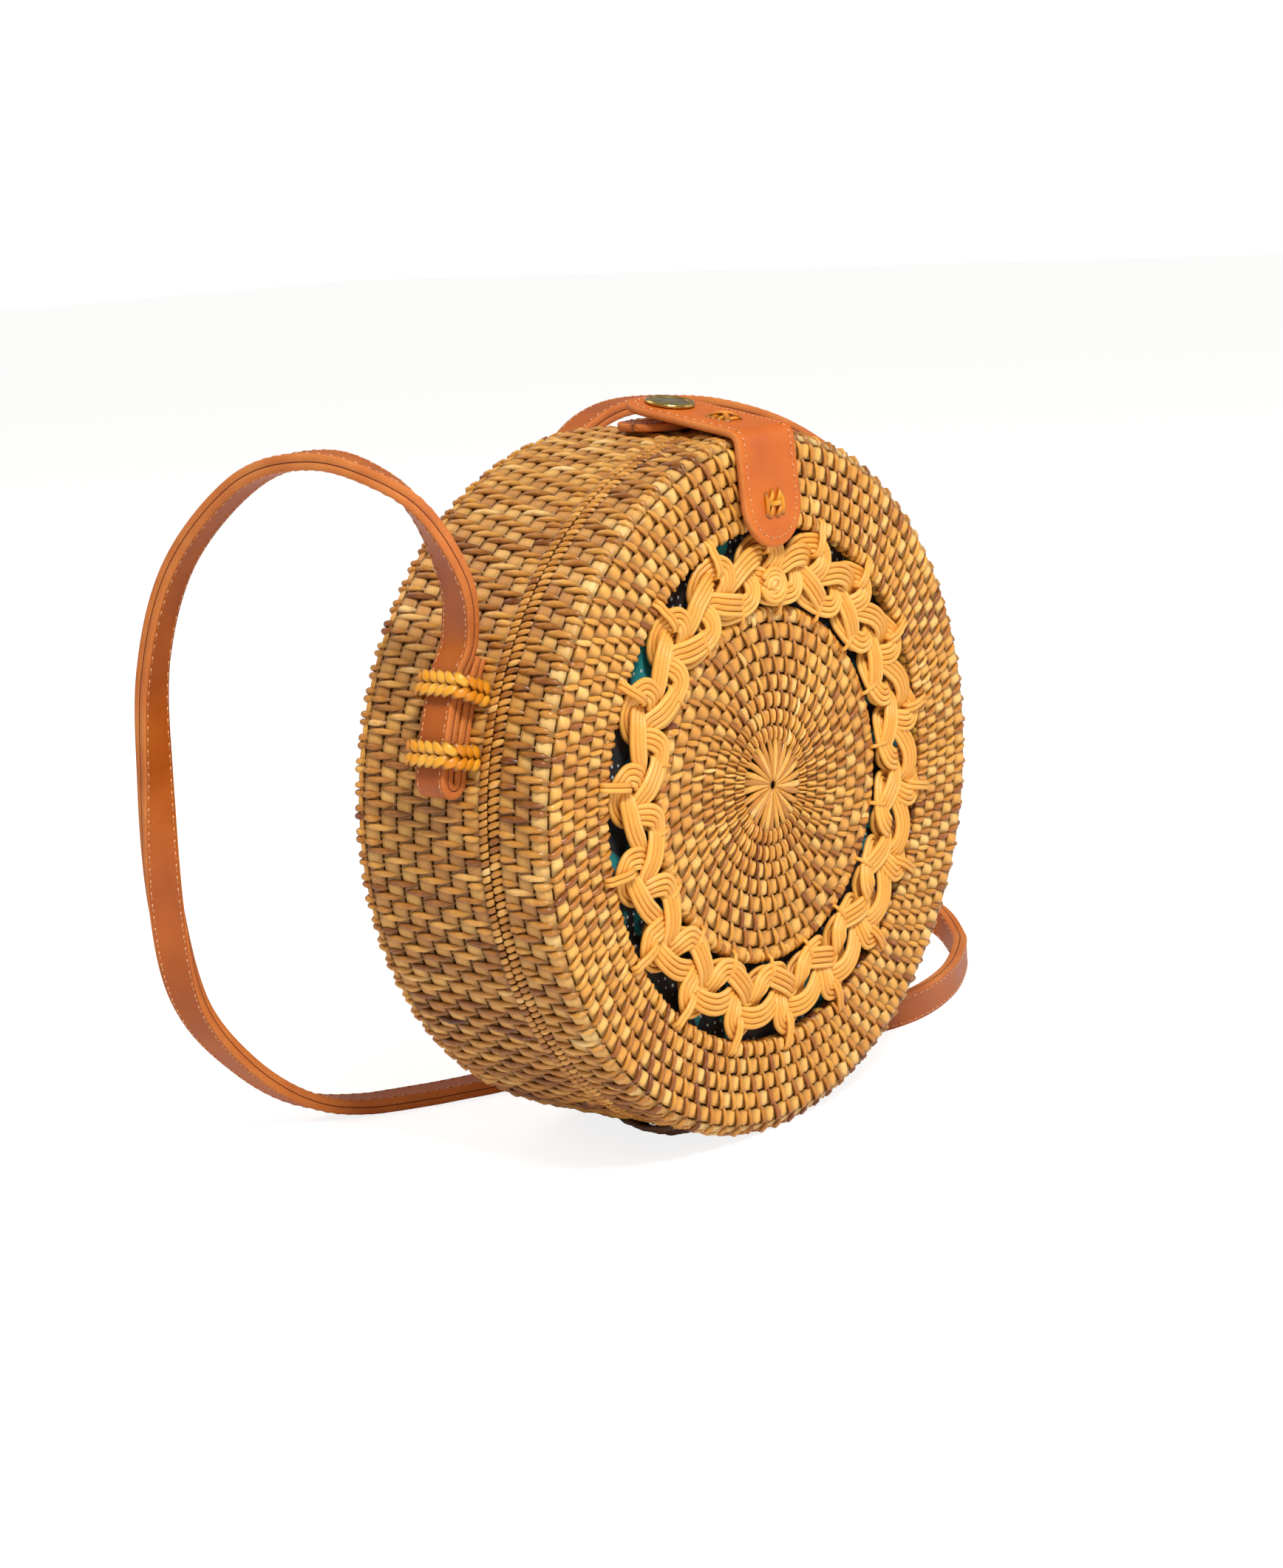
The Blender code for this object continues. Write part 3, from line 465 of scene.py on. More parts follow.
def addFloat(shape, at, outward, start, end, angle, step, look, tone, draws):
    # one stretch of a weaver that passes over the rings between two places and dips under at both ends
    stations = []
    paintedLightLevels = []
    wide = look["width"] * (1 + draws.uniform(-0.10, 0.10)) / 2
    high = look["height"] * (1 + draws.uniform(-0.15, 0.15))
    lean = look["lean"] + draws.uniform(-0.10, 0.10)
    for t in floatSteps:
        bell = math.sin(math.pi * t)
        s = start + (end - start) * t
        here = angle + step * (look["slant"] * math.sin(2 * math.pi * t) + lean * (t - 0.5))
        point, tangent, normal = weaveFrame(at, s, here, outward)
        narrow = min(1.0, at(s)[0] * step / look["pitch"])
        lift = high * bell ** look["arch"] - look["dip"] * (1 - bell)
        thick = look["thickness"] * (0.5 + 0.5 * bell)
        middle = point + normal * (lift - thick)
        taper = look["taper"] + (1 - look["taper"]) * bell ** look["round"]
        stations.append((middle, tangent * wide * narrow * taper, normal * thick))
        # painted shade: the float's ends, where it dips under the rings, get a low crest and are painted dark
        paintedLightLevels.append(0.04 + 0.96 * bell ** 0.8)
    sweepInto(shape, stations, look["section"], tone, draws.uniform(0, 9), paintedLightLevels)


def addRing(shape, at, outward, start, end, count, column, hand, look, samples, draws, tone):
    # one core ring: it bulges where a weaver passes under it and is pressed flat elsewhere
    section = [(-1.0, -0.5), (-0.82, 0.45), (-0.35, 0.92), (0.35, 0.92), (0.82, 0.45), (1.0, -0.5)]
    middleAt = (start + end) / 2
    half = (end - start) / 2 * 0.97
    first = len(shape["points"])
    total = count * samples
    size = len(section)
    bead = [draws.uniform(0.85, 1.1) for _ in range(count)]
    beadTone = [tone + draws.uniform(-0.25, 0.25) for _ in range(count)]
    for step in range(total):
        angle = 2 * math.pi * step / total
        place = step / samples
        nearest = min((weaver for weaver in (int(place) - 1, int(place), int(place) + 1, int(place) + 2)
                       if (column + hand * weaver) % look["period"] == 0), key=lambda weaver: abs(weaver - place))
        gap = abs(nearest - place)
        which = nearest % count
        bump = math.exp(-(gap / look["beadReach"]) ** 2) * bead[which]
        high = look["low"] + (look["high"] - look["low"]) * bump
        for u, v in section:
            point, _, normal = weaveFrame(at, middleAt + half * u * (0.93 + 0.07 * bump), angle, outward)
            shape["points"].append(point + normal * (high * v if v > 0 else -look["sink"]))
            shape["tone"].append(beadTone[which])
            # painted shade: the ring is painted darker where it is pressed flat between beads and on its sides
            shape["crest"].append((0.25 + 0.75 * bump) * (0.4 + 0.6 * max(v, 0)))
            shape["grain"].append((at(middleAt)[0] * angle, half * u, column * 1.7))
    joinRows(shape, first, total, size, [1] * size)


def weaveInto(shape, at, outward, edges, count, hand, look, seed, firstColumn=0, samples=2, columnTone=None):
    # each weaver passes under one ring in every period and over the others, a ring further on in each row
    draws = random.Random(seed)
    step = 2 * math.pi / count
    columns = len(edges) - 1
    weaverTone = []
    value = 0.5
    for weaver in range(count):
        value = 0.55 * value + 0.45 * draws.gauss(0.5, 0.30)
        weaverTone.append(value)
    for weaver in range(count):
        angle = step * weaver
        column = 0
        while column < columns:
            if (column + firstColumn + hand * weaver) % look["period"] == 0:
                column += 1
                continue
            last = column
            while last + 1 < columns and (last + 1 + firstColumn + hand * weaver) % look["period"]:
                last += 1
            over = look["overhang"] * (edges[column + 1] - edges[column])
            tone = look["tone"] + (weaverTone[weaver] - 0.5) * look["spread"] + draws.gauss(0, 0.10)
            addFloat(shape, at, outward, edges[column] - over, edges[last + 1] + over, angle, step, look,
                     min(max(tone, 0.02), 0.98), draws)
            column = last + 1
    for column in range(columns):
        ringTone = columnTone[column] if columnTone else look["ringTone"]
        addRing(shape, at, outward, edges[column], edges[column + 1], count, column + firstColumn, hand, look,
                samples, draws, ringTone)


def evenEdges(start, end, count):
    return [start + (end - start) * k / count for k in range(count + 1)]


def edgeWrapsInto(shape, at, outward, start, end, look, seed):
    # closely stacked short turns of the weavers over the mouth's edge
    draws = random.Random(seed)
    step = 2 * math.pi / weavers
    for wrap in range(weavers):
        stations = []
        paintedLightLevels = []
        wide = look["width"] / 2 * draws.uniform(0.9, 1.08)
        high = look["height"] * draws.uniform(0.8, 1.15)
        for t in (0.0, 0.14, 0.38, 0.62, 0.86, 1.0):
            bell = math.sin(math.pi * (0.22 + 0.76 * t))
            point, tangent, normal = weaveFrame(at, start + (end - start) * t,
                                                step * (wrap + look["lean"] * (t - 0.5)), outward)
            thick = look["thickness"] * (0.5 + 0.5 * bell)
            stations.append((point + normal * (high * bell ** 0.5 - look["dip"] * (1 - bell) - thick),
                             tangent * wide * (0.6 + 0.4 * bell), normal * thick))
            # painted shade: each wrap is painted darker towards its tucked ends
            paintedLightLevels.append(0.62 + 0.38 * bell)
        tone = min(max(look["tone"] + draws.gauss(0, look["spread"]), 0.02), 0.98)
        sweepInto(shape, stations, plumpSection, tone, draws.uniform(0, 9), paintedLightLevels)


def cornerArc(sign):  # the rounded corner between wall and face, as (radius, y), in the weave's own skin
    bend = bag["cornerRound"] - bag["sink"]
    face = (bag["front"] if sign < 0 else bag["back"]) - sign * bag["sink"]
    return [(bag["skin"] - bend * (1 - math.cos(a)), face - sign * bend * (1 - math.sin(a)))
            for a in (math.pi / 2 * k / 8 for k in range(9))]


# woven walls: twill, over two rings and under one
wallLook = {"period": 3, "width": 2.15 * mm, "height": 1.40 * mm, "thickness": 0.85 * mm, "dip": 0.85 * mm,
            "arch": 0.65, "taper": 0.34, "round": 0.95, "slant": 0.10, "lean": 0.42, "overhang": 0.17,
            "pitch": 2.19 * mm, "beadReach": 0.85, "low": 0.05 * mm, "high": 0.42 * mm, "sink": 0.5 * mm,
            "tone": 0.50, "spread": 0.8, "ringTone": 0.52, "section": plumpSection}
mouthWrap = {"width": 2.15 * mm, "height": 1.0 * mm, "thickness": 0.6 * mm, "dip": 0.3 * mm, "lean": 0.6,
             "tone": 0.55, "spread": 0.14, "run": 3.0 * mm, "tuck": 0.7 * mm}
weavers = 288
wallStraight = bag["back"] - bag["cornerRound"]
seamGap = 0.15 * mm  # the weaves stop this far short of the seam
core = bag["radius"] - 1.3 * mm  # the dark core lies this far under the ribs


def wallCore(side, face):  # from the seam to the corner; side is 1 for the body and -1 for the lid
    start = bag["seam"] + side * 0.3 * mm
    stop = face - side * 7.35 * mm
    return [(core, start), (core, stop), (bag["innerRadius"], stop), (bag["innerRadius"], start)]


def faceCore(side, face, hole, holeDepth):  # from a face's hole outwards and round the corner
    depths = [(hole, holeDepth), (96.7 * mm, 1.3 * mm), (99.0 * mm, 2.9 * mm), (core, 4.6 * mm), (core, 7.3 * mm),
              (bag["innerRadius"], 7.3 * mm), (bag["innerRadius"], 5 * mm), (hole, 5 * mm)]
    return [(radius, face - side * depth) for radius, depth in depths]


bodySide, bodyLength = profileOf([(bag["skin"], bag["seam"] + seamGap), (bag["skin"], wallStraight)]
                                 + cornerArc(1)[1:] + [(21.5 * mm, bag["back"] - bag["sink"])])
wallEnd = wallStraight - bag["seam"] - seamGap
bodyEdges = evenEdges(mouthWrap["run"], wallEnd, 7)
shape = newShape()
weaveInto(shape, bodySide, 1, bodyEdges, weavers, 1, wallLook, 11)
edgeWrapsInto(shape, bodySide, 1, 0.1 * mm, mouthWrap["run"] + mouthWrap["tuck"], mouthWrap, 12)
coreInto(shape, wallCore(1, bag["back"]))
makePiece("body_wall_weave", shape, [weaverWall, ringWall, coreDark], "body", ["body_wall"])
print("body wall woven")

faceEnd = [(75.0 * mm, bag["front"] + bag["sink"]), (74.1 * mm, bag["front"] + 0.8 * mm),
           (73.7 * mm, bag["front"] + 1.7 * mm)]
lidSide, lidLength = profileOf([(bag["skin"], bag["seam"] - seamGap), (bag["skin"], -wallStraight)]
                               + cornerArc(-1)[1:] + faceEnd)
lidWallEdges = [mouthWrap["run"], 8.6 * mm, 14.2 * mm, 20.0 * mm]  # the third ring turns the corner
shape = newShape()
weaveInto(shape, lidSide, -1, lidWallEdges, weavers, -1, wallLook, 21, columnTone=[0.52, 0.56, 0.85])
edgeWrapsInto(shape, lidSide, -1, 0.1 * mm, mouthWrap["run"] + mouthWrap["tuck"],
              dict(mouthWrap, lean=-mouthWrap["lean"]), 22)
coreInto(shape, wallCore(-1, bag["front"]))
makePiece("lid_wall_weave", shape, [weaverWall, ringWall, coreDark], "lid", ["lid_wall"])
print("lid wall woven")

# woven ring of the front face: plain weave, over one ring and under one, so that the rings show as rows of beads
faceLook = {"period": 2, "width": 1.95 * mm, "height": 1.20 * mm, "thickness": 0.62 * mm, "dip": 0.80 * mm,
            "arch": 0.55, "taper": 0.45, "round": 0.7, "slant": 0.06, "lean": -0.60, "overhang": 0.24,
            "pitch": 3.16 * mm, "beadReach": 0.56, "low": -0.60 * mm, "high": 1.00 * mm, "sink": 0.7 * mm,
            "tone": 0.46, "spread": 0.75, "ringTone": 0.66, "section": floatSection}
faceEdges = evenEdges(19.9 * mm, lidLength - 0.3 * mm, 5)
shape = newShape()
weaveInto(shape, lidSide, -1, faceEdges, 192, -1, faceLook, 31, 1, 4)
coreInto(shape, faceCore(-1, bag["front"], 74.6 * mm, 1.8 * mm))
makePiece("lid_face_weave", shape, [weaverFace, ringFace, coreDark], "lid", ["lid_face_ring"])
print("face woven")

# woven back, never seen in the photograph, so it follows the front's way of weaving
shape = newShape()
backEdges = [wallEnd, wallEnd + 5.4 * mm] + evenEdges(wallEnd + 10.4 * mm, bodyLength, 12)
for group, (start, stop, count) in enumerate(((1, 5, 192), (5, 8, 144), (8, 11, 96), (11, len(backEdges) - 1, 60))):
    look = dict(faceLook, tone=0.5, pitch=2 * math.pi * bodySide(backEdges[start])[0] / count, height=0.75 * mm)
    look["width"] = look["pitch"] * 0.66
    weaveInto(shape, bodySide, 1, backEdges[start:stop + 1], count, 1, look, 41 + group, start, 4)
weaveInto(shape, bodySide, 1, backEdges[:2], weavers, 1, wallLook, 40, 7)
backHub = {"spokes": 32, "inner": 1.8 * mm, "reach": 20.6 * mm, "lift": 0.9 * mm, "thick": 0.6 * mm,
           "narrowest": 0.18 * mm, "swirl": 0.05}
for spoke in range(backHub["spokes"]):
    angle = 2 * math.pi * spoke / backHub["spokes"]
    tangent = tangentAt(angle)
    stations = []
    for t in (0.0, 0.15, 0.4, 0.7, 0.9, 1.0):
        radius = backHub["inner"] + backHub["reach"] * t
        lift = backHub["lift"] * (1 - 0.6 * t ** 3)
        stations.append((drumPoint(radius, angle + backHub["swirl"] * t, bag["back"] + lift - backHub["lift"]),
                         tangent * (backHub["narrowest"] + radius * math.pi / (backHub["spokes"] + 2)),
                         Vector((0, backHub["thick"], 0))))
    sweepInto(shape, stations, floatSection, 0.5 + 0.2 * math.sin(spoke * 2.3), spoke)
coreInto(shape, faceCore(1, bag["back"], 0.5 * mm, 1.3 * mm))
makePiece("back_weave", shape, [weaverFace, ringFace, coreDark], "body", ["back_panel"])
print("back woven")

# centre disc: the same number of weavers all the way in, so that they grow narrower towards the hub
discFace = bag["front"] + 1.5 * mm
discCount = 78
discSide, discLength = profileOf([(51.0 * mm, discFace + 1.9 * mm), (50.8 * mm, discFace + 0.9 * mm),
                                  (50.0 * mm, discFace + 0.2 * mm), (48.8 * mm, discFace), (8.0 * mm, discFace)])
discLook = dict(faceLook, height=1.15 * mm, thickness=0.58 * mm, dip=0.75 * mm, lean=-0.45, width=2.10 * mm,
                pitch=2 * math.pi * 48.8 * mm / discCount, high=0.95 * mm, tone=0.52, ringTone=0.60)
shape = newShape()
weaveInto(shape, discSide, -1, evenEdges(0.5 * mm, discLength - 4.4 * mm, 8), discCount, -1, discLook, 61, 0, 6)
discHub = {"spokes": 29, "inner": 1.3 * mm, "reach": 12.2 * mm, "lift": 1.0 * mm, "thick": 0.55 * mm,
           "narrowest": 0.14 * mm, "widest": 1.05 * mm, "swirl": 0.10}
for spoke in range(discHub["spokes"]):
    angle = 2 * math.pi * spoke / discHub["spokes"] + 0.03 * math.sin(spoke * 1.7)
    tangent = tangentAt(angle)
    stations = []
    paintedLightLevels = []
    for t in (0.0, 0.12, 0.35, 0.65, 0.88, 1.0):
        radius = discHub["inner"] + discHub["reach"] * t
        lift = discHub["lift"] * math.sin(math.pi * (0.18 + 0.76 * t)) ** 0.5
        wide = min(discHub["widest"], discHub["narrowest"] + radius * math.pi / (discHub["spokes"] + 2))
        stations.append((drumPoint(radius, angle + discHub["swirl"] * t, discFace - lift + bag["sink"]),
                         tangent * wide, Vector((0, -discHub["thick"], 0))))
        # painted shade: the spokes are painted darker towards both ends
        paintedLightLevels.append(0.45 + 0.5 * math.sin(math.pi * (0.15 + 0.8 * t)))
    sweepInto(shape, stations, plumpSection, 0.62 + 0.2 * math.sin(spoke * 2.3), spoke, paintedLightLevels)
coreInto(shape, [(1.2 * mm, discFace + 0.9 * mm), (49.5 * mm, discFace + 0.9 * mm),
                 (49.5 * mm, discFace + 3.0 * mm), (1.2 * mm, discFace + 3.0 * mm)])
makePiece("centre_disc_weave", shape, [weaverFace, ringFace, coreDark], "lid", ["centre_disc"])
print("disc woven")


def wrappedRing(name, look, body, node):
    # a cane ring wrapped side by side with strip: each turn is a low hump with a sharp groove beside it
    shape = newShape()
    draws = random.Random(look["seed"])
    turns = look["turns"]
    perTurn = 7
    sides = look["sides"]
    total = turns * perTurn
    tones = []
    for wrap in range(turns):
        tone = draws.gauss(look["tone"], look["spread"])
        degrees = 360 * wrap / turns
        if look["darkFrom"] < degrees < look["darkTo"] and wrap % 2:
            tone = 0.06
        tones.append(min(max(tone, 0.02), 0.98))
    swell = [draws.uniform(0.75, 1.15) for _ in range(turns)]
    for step in range(total):
        angle = 2 * math.pi * step / total
        for side in range(sides):
            around = 2 * math.pi * side / sides
            place = step / perTurn + side / sides
            which = int(place) % turns
            within = place - int(place)
            hump = math.sin(math.pi * within) ** 0.6 * swell[which]
            depth = look["tube"] + look["hump"] * (hump - 0.8)
            radius = look["radius"] + depth * math.cos(around) * look["wide"]
            shape["points"].append(drumPoint(radius, angle, look["y"] - depth * math.sin(around) * look["tall"]))
            shape["tone"].append(tones[which])
            # painted shade: the groove between turns is painted dark through a low crest
            shape["crest"].append(min(hump, 1.0))
            shape["grain"].append((around * look["tube"], within * 2.5 * mm, which * 1.3))
    joinRows(shape, 0, total, sides, [0] * sides)
    makePiece(name, shape, [weaverFace], body, [node])


wrappedRing("face_rim_cane", {"radius": 76.1 * mm, "y": -32.1 * mm, "tube": 2.45 * mm, "hump": 0.7 * mm,
                              "turns": 144, "sides": 14, "wide": 1.0, "tall": 1.0, "tone": 0.55, "spread": 0.16,
                              "darkFrom": 280, "darkTo": 345, "seed": 71}, "lid", "face_rim_wrap")
wrappedRing("disc_rim_cane", {"radius": 49.4 * mm, "y": -31.9 * mm, "tube": 2.1 * mm, "hump": 0.6 * mm,
                              "turns": 130, "sides": 14, "wide": 1.0, "tall": 1.0, "tone": 0.58, "spread": 0.18,
                              "darkFrom": 300, "darkTo": 360, "seed": 72}, "lid", "disc_rim_wrap")
for half, side in (("body", 1), ("lid", -1)):
    wrappedRing(half + "_mouth_cane", {"radius": 92.8 * mm, "y": bag["seam"] + side * 1.85 * mm, "tube": 1.35 * mm,
                                       "hump": 0.35 * mm, "turns": 200, "sides": 10, "wide": 0.9, "tall": 1.15,
                                       "tone": 0.6, "spread": 0.15, "darkFrom": 0, "darkTo": 0, "seed": 73},
                half, half + "_mouth_hoop")
print("rims wrapped")

# braid: one bundle of four canes hooks to and fro round two that run along the ring, eighteen hooks in all.
# Each point is degrees clockwise from its hook's top, radius in mm and a share of the lift towards the front
braid = {"hooks": 18, "turn": 20, "first": 0.5, "lift": 1.7 * mm, "y": -34.3 * mm, "cane": 0.86 * mm,
         "spread": 1.62 * mm, "samples": 5}
braidRuns = {
    "a": [(0, 70.2, 0.4), (2.5, 67.9, 0.9), (2.4, 64.2, 1.0), (0.6, 60.4, -0.2), (-1.0, 57.0, -1.0),
          (-0.6, 55.2, -0.5), (2.5, 54.2, 0.1), (7.0, 54.2, 0.5), (11.0, 55.6, 1.0), (12.4, 59.0, 0.7),
          (12.2, 62.6, -0.6), (12.8, 66.0, -1.0), (15.5, 69.0, -0.8), (18, 70.1, -0.3)],
    "b": [(-17.5, 61.4, -0.3), (-14.5, 63.0, 0.6), (-10.5, 65.4, 1.0), (-6.5, 66.6, 0.9), (-3.0, 66.6, 0.2),
          (-0.5, 65.6, -0.7), (1.0, 64.3, -1.0)],
    "c": [(-4.5, 61.2, -0.1), (-1.0, 58.8, 0.9), (3.0, 56.6, 1.0), (6.5, 55.2, 0.6), (9.0, 55.0, -0.3),
          (11.5, 56.8, -1.0), (13.8, 59.3, -0.8)]}
roundSection = [(math.cos(2 * math.pi * k / 8), math.sin(2 * math.pi * k / 8)) for k in range(8)]


def between(p0, p1, p2, p3, t):  # a smooth curve through p1 and p2
    return p1 + (p2 - p0) * 0.5 * t + (p0 - p1 * 2.5 + p2 * 2 - p3 * 0.5) * t * t \
        + (p1 * 1.5 - p0 * 0.5 - p2 * 1.5 + p3 * 0.5) * t ** 3


def clockPoint(degrees, radius, y):  # degrees clockwise from the top, seen from the front
    return drumPoint(radius, math.radians(90 - degrees), y)


for letter, run in braidRuns.items():
    shape = newShape()
    draws = random.Random(81 + ord(letter))
    path = []
    for hook in range(braid["hooks"]):
        wander = draws.uniform(-0.25, 0.25)  # mm
        for degrees, radius, share in run:
            path.append(clockPoint(braid["first"] + braid["turn"] * hook + degrees + wander * 0.6,
                                   radius * mm + wander * mm, braid["y"] - braid["lift"] * share))
    total = len(path)
    line = []
    for k in range(total):
        p0, p1, p2, p3 = (path[(k + j) % total] for j in (-1, 0, 1, 2))
        line += [between(p0, p1, p2, p3, step / braid["samples"]) for step in range(braid["samples"])]
    total = len(line)
    for cane in range(4):
        lane = cane - 1.5
        stations = []
        paintedLightLevels = []
        for k in range(total):
            here = line[k]
            ahead = (line[(k + 2) % total] - line[k - 2]).normalized()
            across = ahead.cross(Vector((0, -1, 0))).normalized()
            over = across.cross(ahead).normalized()
            lifted = (braid["y"] - here.y) / braid["lift"]
            width = braid["spread"] * (0.93 + 0.09 * abs(lifted))
            thick = braid["cane"] * (0.97 + 0.04 * math.sin(k * 0.21 + cane))
            arch = 0.22 * mm * (1.0 - (lane / 1.5) ** 2)
            stations.append((here + across * lane * width + over * arch, across * thick, over * thick))
            # painted shade: the canes are painted darker where the bundle passes back under the others
            paintedLightLevels.append(0.5 + 0.5 * min(max(lifted + 0.4, 0.0), 1.0))
        sweepInto(shape, stations, roundSection, draws.uniform(0.35, 0.75), cane * 2.1 + ord(letter), paintedLightLevels, True)
    node = "braid_strand_" + letter
    makePiece(node + "_canes", shape, [braidCane], "lid", [node])
print("braid plaited")

# cane ties from each hook of the braid over the rim outside it, and from each inner turn to the disc's rim
shape = newShape()
draws = random.Random(91)
# each tie's path is (radius, y) in mm; the outer ones lie two canes side by side
outerTie = [(66.6, -34.0), (67.3, -36.4), (69.4, -37.0), (72.2, -36.9), (74.6, -36.2), (76.6, -36.0),
            (77.9, -34.6)]
innerTie = [(55.6, -34.0), (55.0, -35.9), (53.4, -36.1), (51.6, -35.6), (50.0, -35.3), (48.9, -34.0)]
ties = ((outerTie, -0.2, 0.72 * mm, (-0.72, 0.72)), (innerTie, 6.0, 0.62 * mm, (0.0,)))
for hook in range(braid["hooks"]):
    for tie, degrees, wide, lanes in ties:
        skew = draws.uniform(-0.8, 0.8)
        for lane in lanes:
            stations = []
            for k, (radius, y) in enumerate(tie):
                share = k / (len(tie) - 1)
                degree = braid["first"] + braid["turn"] * hook + degrees + skew * share
                angle = math.radians(90 - degree)
                tangent = tangentAt(angle)
                before = tie[max(k - 1, 0)]
                after = tie[min(k + 1, len(tie) - 1)]
                way = Vector((after[0] - before[0], after[1] - before[1])).normalized()
                spoke = spokeAt(angle)
                up = spoke * way.y - Vector((0, way.x, 0))
                up = up if up.y < 0 or abs(up.y) < 0.3 else -up
                stations.append((drumPoint(radius * mm, angle, y * mm) + tangent * lane * mm, tangent * wide,
                                 up * 0.6 * mm))
            sweepInto(shape, stations, roundSection, draws.uniform(0.35, 0.6), hook + lane)
makePiece("braid_lobe_ties", shape, [braidCane], "lid", ())

# the bundle's curled end, turned in on itself under the closure's tip, its cut ends in the middle
curl = {"centre": Vector((1.5 * mm, -36.6 * mm, 158.0 * mm)), "radii": (5.4, 3.9, 2.4, 1.0), "tall": 0.86,
        "steps": 22, "turn": 0.93, "cane": 0.82 * mm, "lift": 0.5 * mm}
shape = newShape()
for ring, radius in enumerate(curl["radii"]):
    stations = []
    for k in range(curl["steps"] + 1):
        angle = math.radians(150 + ring * 25) - 2 * math.pi * curl["turn"] * k / curl["steps"]
        out = Vector((math.cos(angle), 0, math.sin(angle) * curl["tall"]))
        lift = curl["lift"] * math.sin(2 * math.pi * k / curl["steps"] + ring)
        stations.append((curl["centre"] + out * radius * mm + Vector((0, lift, 0)), out * curl["cane"],
                         Vector((0, -curl["cane"], 0))))
    sweepInto(shape, stations, roundSection, 0.55 + 0.1 * ring, 3.3 + ring)
makePiece("braid_curled_end", shape, [braidCane], "lid", ())
print("ties and curl made")


# linings of printed cotton
def liningPiece(name, outline, body, node):
    # outline is an open line of (radius, y, way out from its face); the cloth is puckered between its stitches
    shape = newShape()
    steps = 96
    for radius, y, nr, ny in outline:
        for step in range(steps):
            angle = 2 * math.pi * step / steps
            pucker = 0.10 * mm * math.sin(angle * 24 + radius * 900) * (1 if radius > 10 * mm else 0)
            normal = Vector((nr * math.cos(angle), ny, nr * math.sin(angle)))
            shape["points"].append(drumPoint(radius, angle, y) + normal * pucker)
    joinRows(shape, 0, len(outline), steps, [0] * steps, False)
    plainInto(shape)
    if outline[0][0] < 2 * mm:
        shape["faces"].append(tuple(range(steps)))
        shape["slots"].append(0)
    piece = makePiece(name, shape, [cotton], body, [node])
    solid = piece.modifiers.new("cloth", "SOLIDIFY")
    solid.thickness = 0.5 * mm
    solid.offset = 0


# the lid's face cloth is a disc, the walls' cloth is a strip, and the body's cloth is a cup sewn from both
clothInner = 94.2 * mm
faceCloth = -29.3 * mm
liningPiece("lining_lid_face_cloth", [(r * mm, faceCloth, 0, -1) for r in (0.6, 12, 30, 50, 62, 74, 85, 94.8)], "lid",
            "lining_lid_face")
liningPiece("lining_lid_wall_cloth", [(clothInner, y * mm, -1, 0) for y in (-28.6, -25, -22, -19, -15.4)], "lid",
            "lining_lid_wall")
cup = [(r * mm, 29.3 * mm, 0, -1) for r in (0.6, 15, 35, 55, 75, 90)] + [(93.9 * mm, 29.0 * mm, -0.7, -0.7)]
cup += [(clothInner, y * mm, -1, 0) for y in (28.4, 20, 10, 0, -8, -14.6)]
liningPiece("lining_body_cloth", cup, "body", "lining_body")
print("linings cut")


# leather closure: one strip from its round front end over the corner to the flap's round end
closure = {"halfWidth": 13 * mm, "thick": 2.1 * mm, "bendHeight": 198.9 * mm, "frontLength": 29.7 * mm,
           "lean": math.radians(4.5), "rise": math.radians(10.5), "bendRadius": 3.4 * mm, "gap": 0.6 * mm,
           "splitY": -16.5 * mm, "flapReach": 25.5 * mm, "snapReach": 13.4 * mm}
halfThick = closure["thick"] / 2
leanWay = Vector((0, math.sin(closure["lean"]), math.cos(closure["lean"])))
riseWay = Vector((0, math.cos(closure["rise"]), math.sin(closure["rise"])))
riseUp = Vector((0, -math.sin(closure["rise"]), math.cos(closure["rise"])))
bendStart = Vector((0, bag["front"] - closure["gap"] - halfThick, closure["bendHeight"]))
frontRun = closure["frontLength"] / math.cos(closure["lean"])
bendTurn = math.pi / 2 - closure["lean"] - closure["rise"]
bendCentre = bendStart + Vector((0, math.cos(closure["lean"]), -math.sin(closure["lean"]))) * closure["bendRadius"]
bendRun = closure["bendRadius"] * bendTurn
bendEnd = bendCentre + riseUp * closure["bendRadius"]
topRun = (closure["splitY"] - bendEnd.y) / riseWay.y
splitPoint = bendEnd + riseWay * topRun
closureLength = frontRun + bendRun + topRun + closure["flapReach"]


def closureAt(run):  # middle, direction and outward direction at a distance from the front tip
    if run < frontRun:
        return bendStart - leanWay * (frontRun - run), leanWay, Vector((0, -leanWay.z, leanWay.y))
    if run < frontRun + bendRun:
        angle = closure["lean"] + (run - frontRun) / closure["bendRadius"]
        out = Vector((0, -math.cos(angle), math.sin(angle)))
        return bendCentre + out * closure["bendRadius"], Vector((0, math.sin(angle), math.cos(angle))), out
    beyond = run - frontRun - bendRun
    return bendEnd + riseWay * beyond, riseWay, riseUp


def stripRuns(length, half):  # distances along a strip with both ends round, and the half width at each
    runs = []
    rounds = 9
    for k in range(rounds + 1):
        angle = math.pi / 2 * k / rounds
        runs.append((half - half * math.cos(angle), max(half * math.sin(angle), 0.35 * mm)))
    count = max(2, round((length - 2 * half) / (1.6 * mm)))
    runs += [(half + (length - 2 * half) * k / count, half) for k in range(1, count)]
    runs += [(length - run, wide) for run, wide in reversed(runs[:rounds + 1])]
    return runs


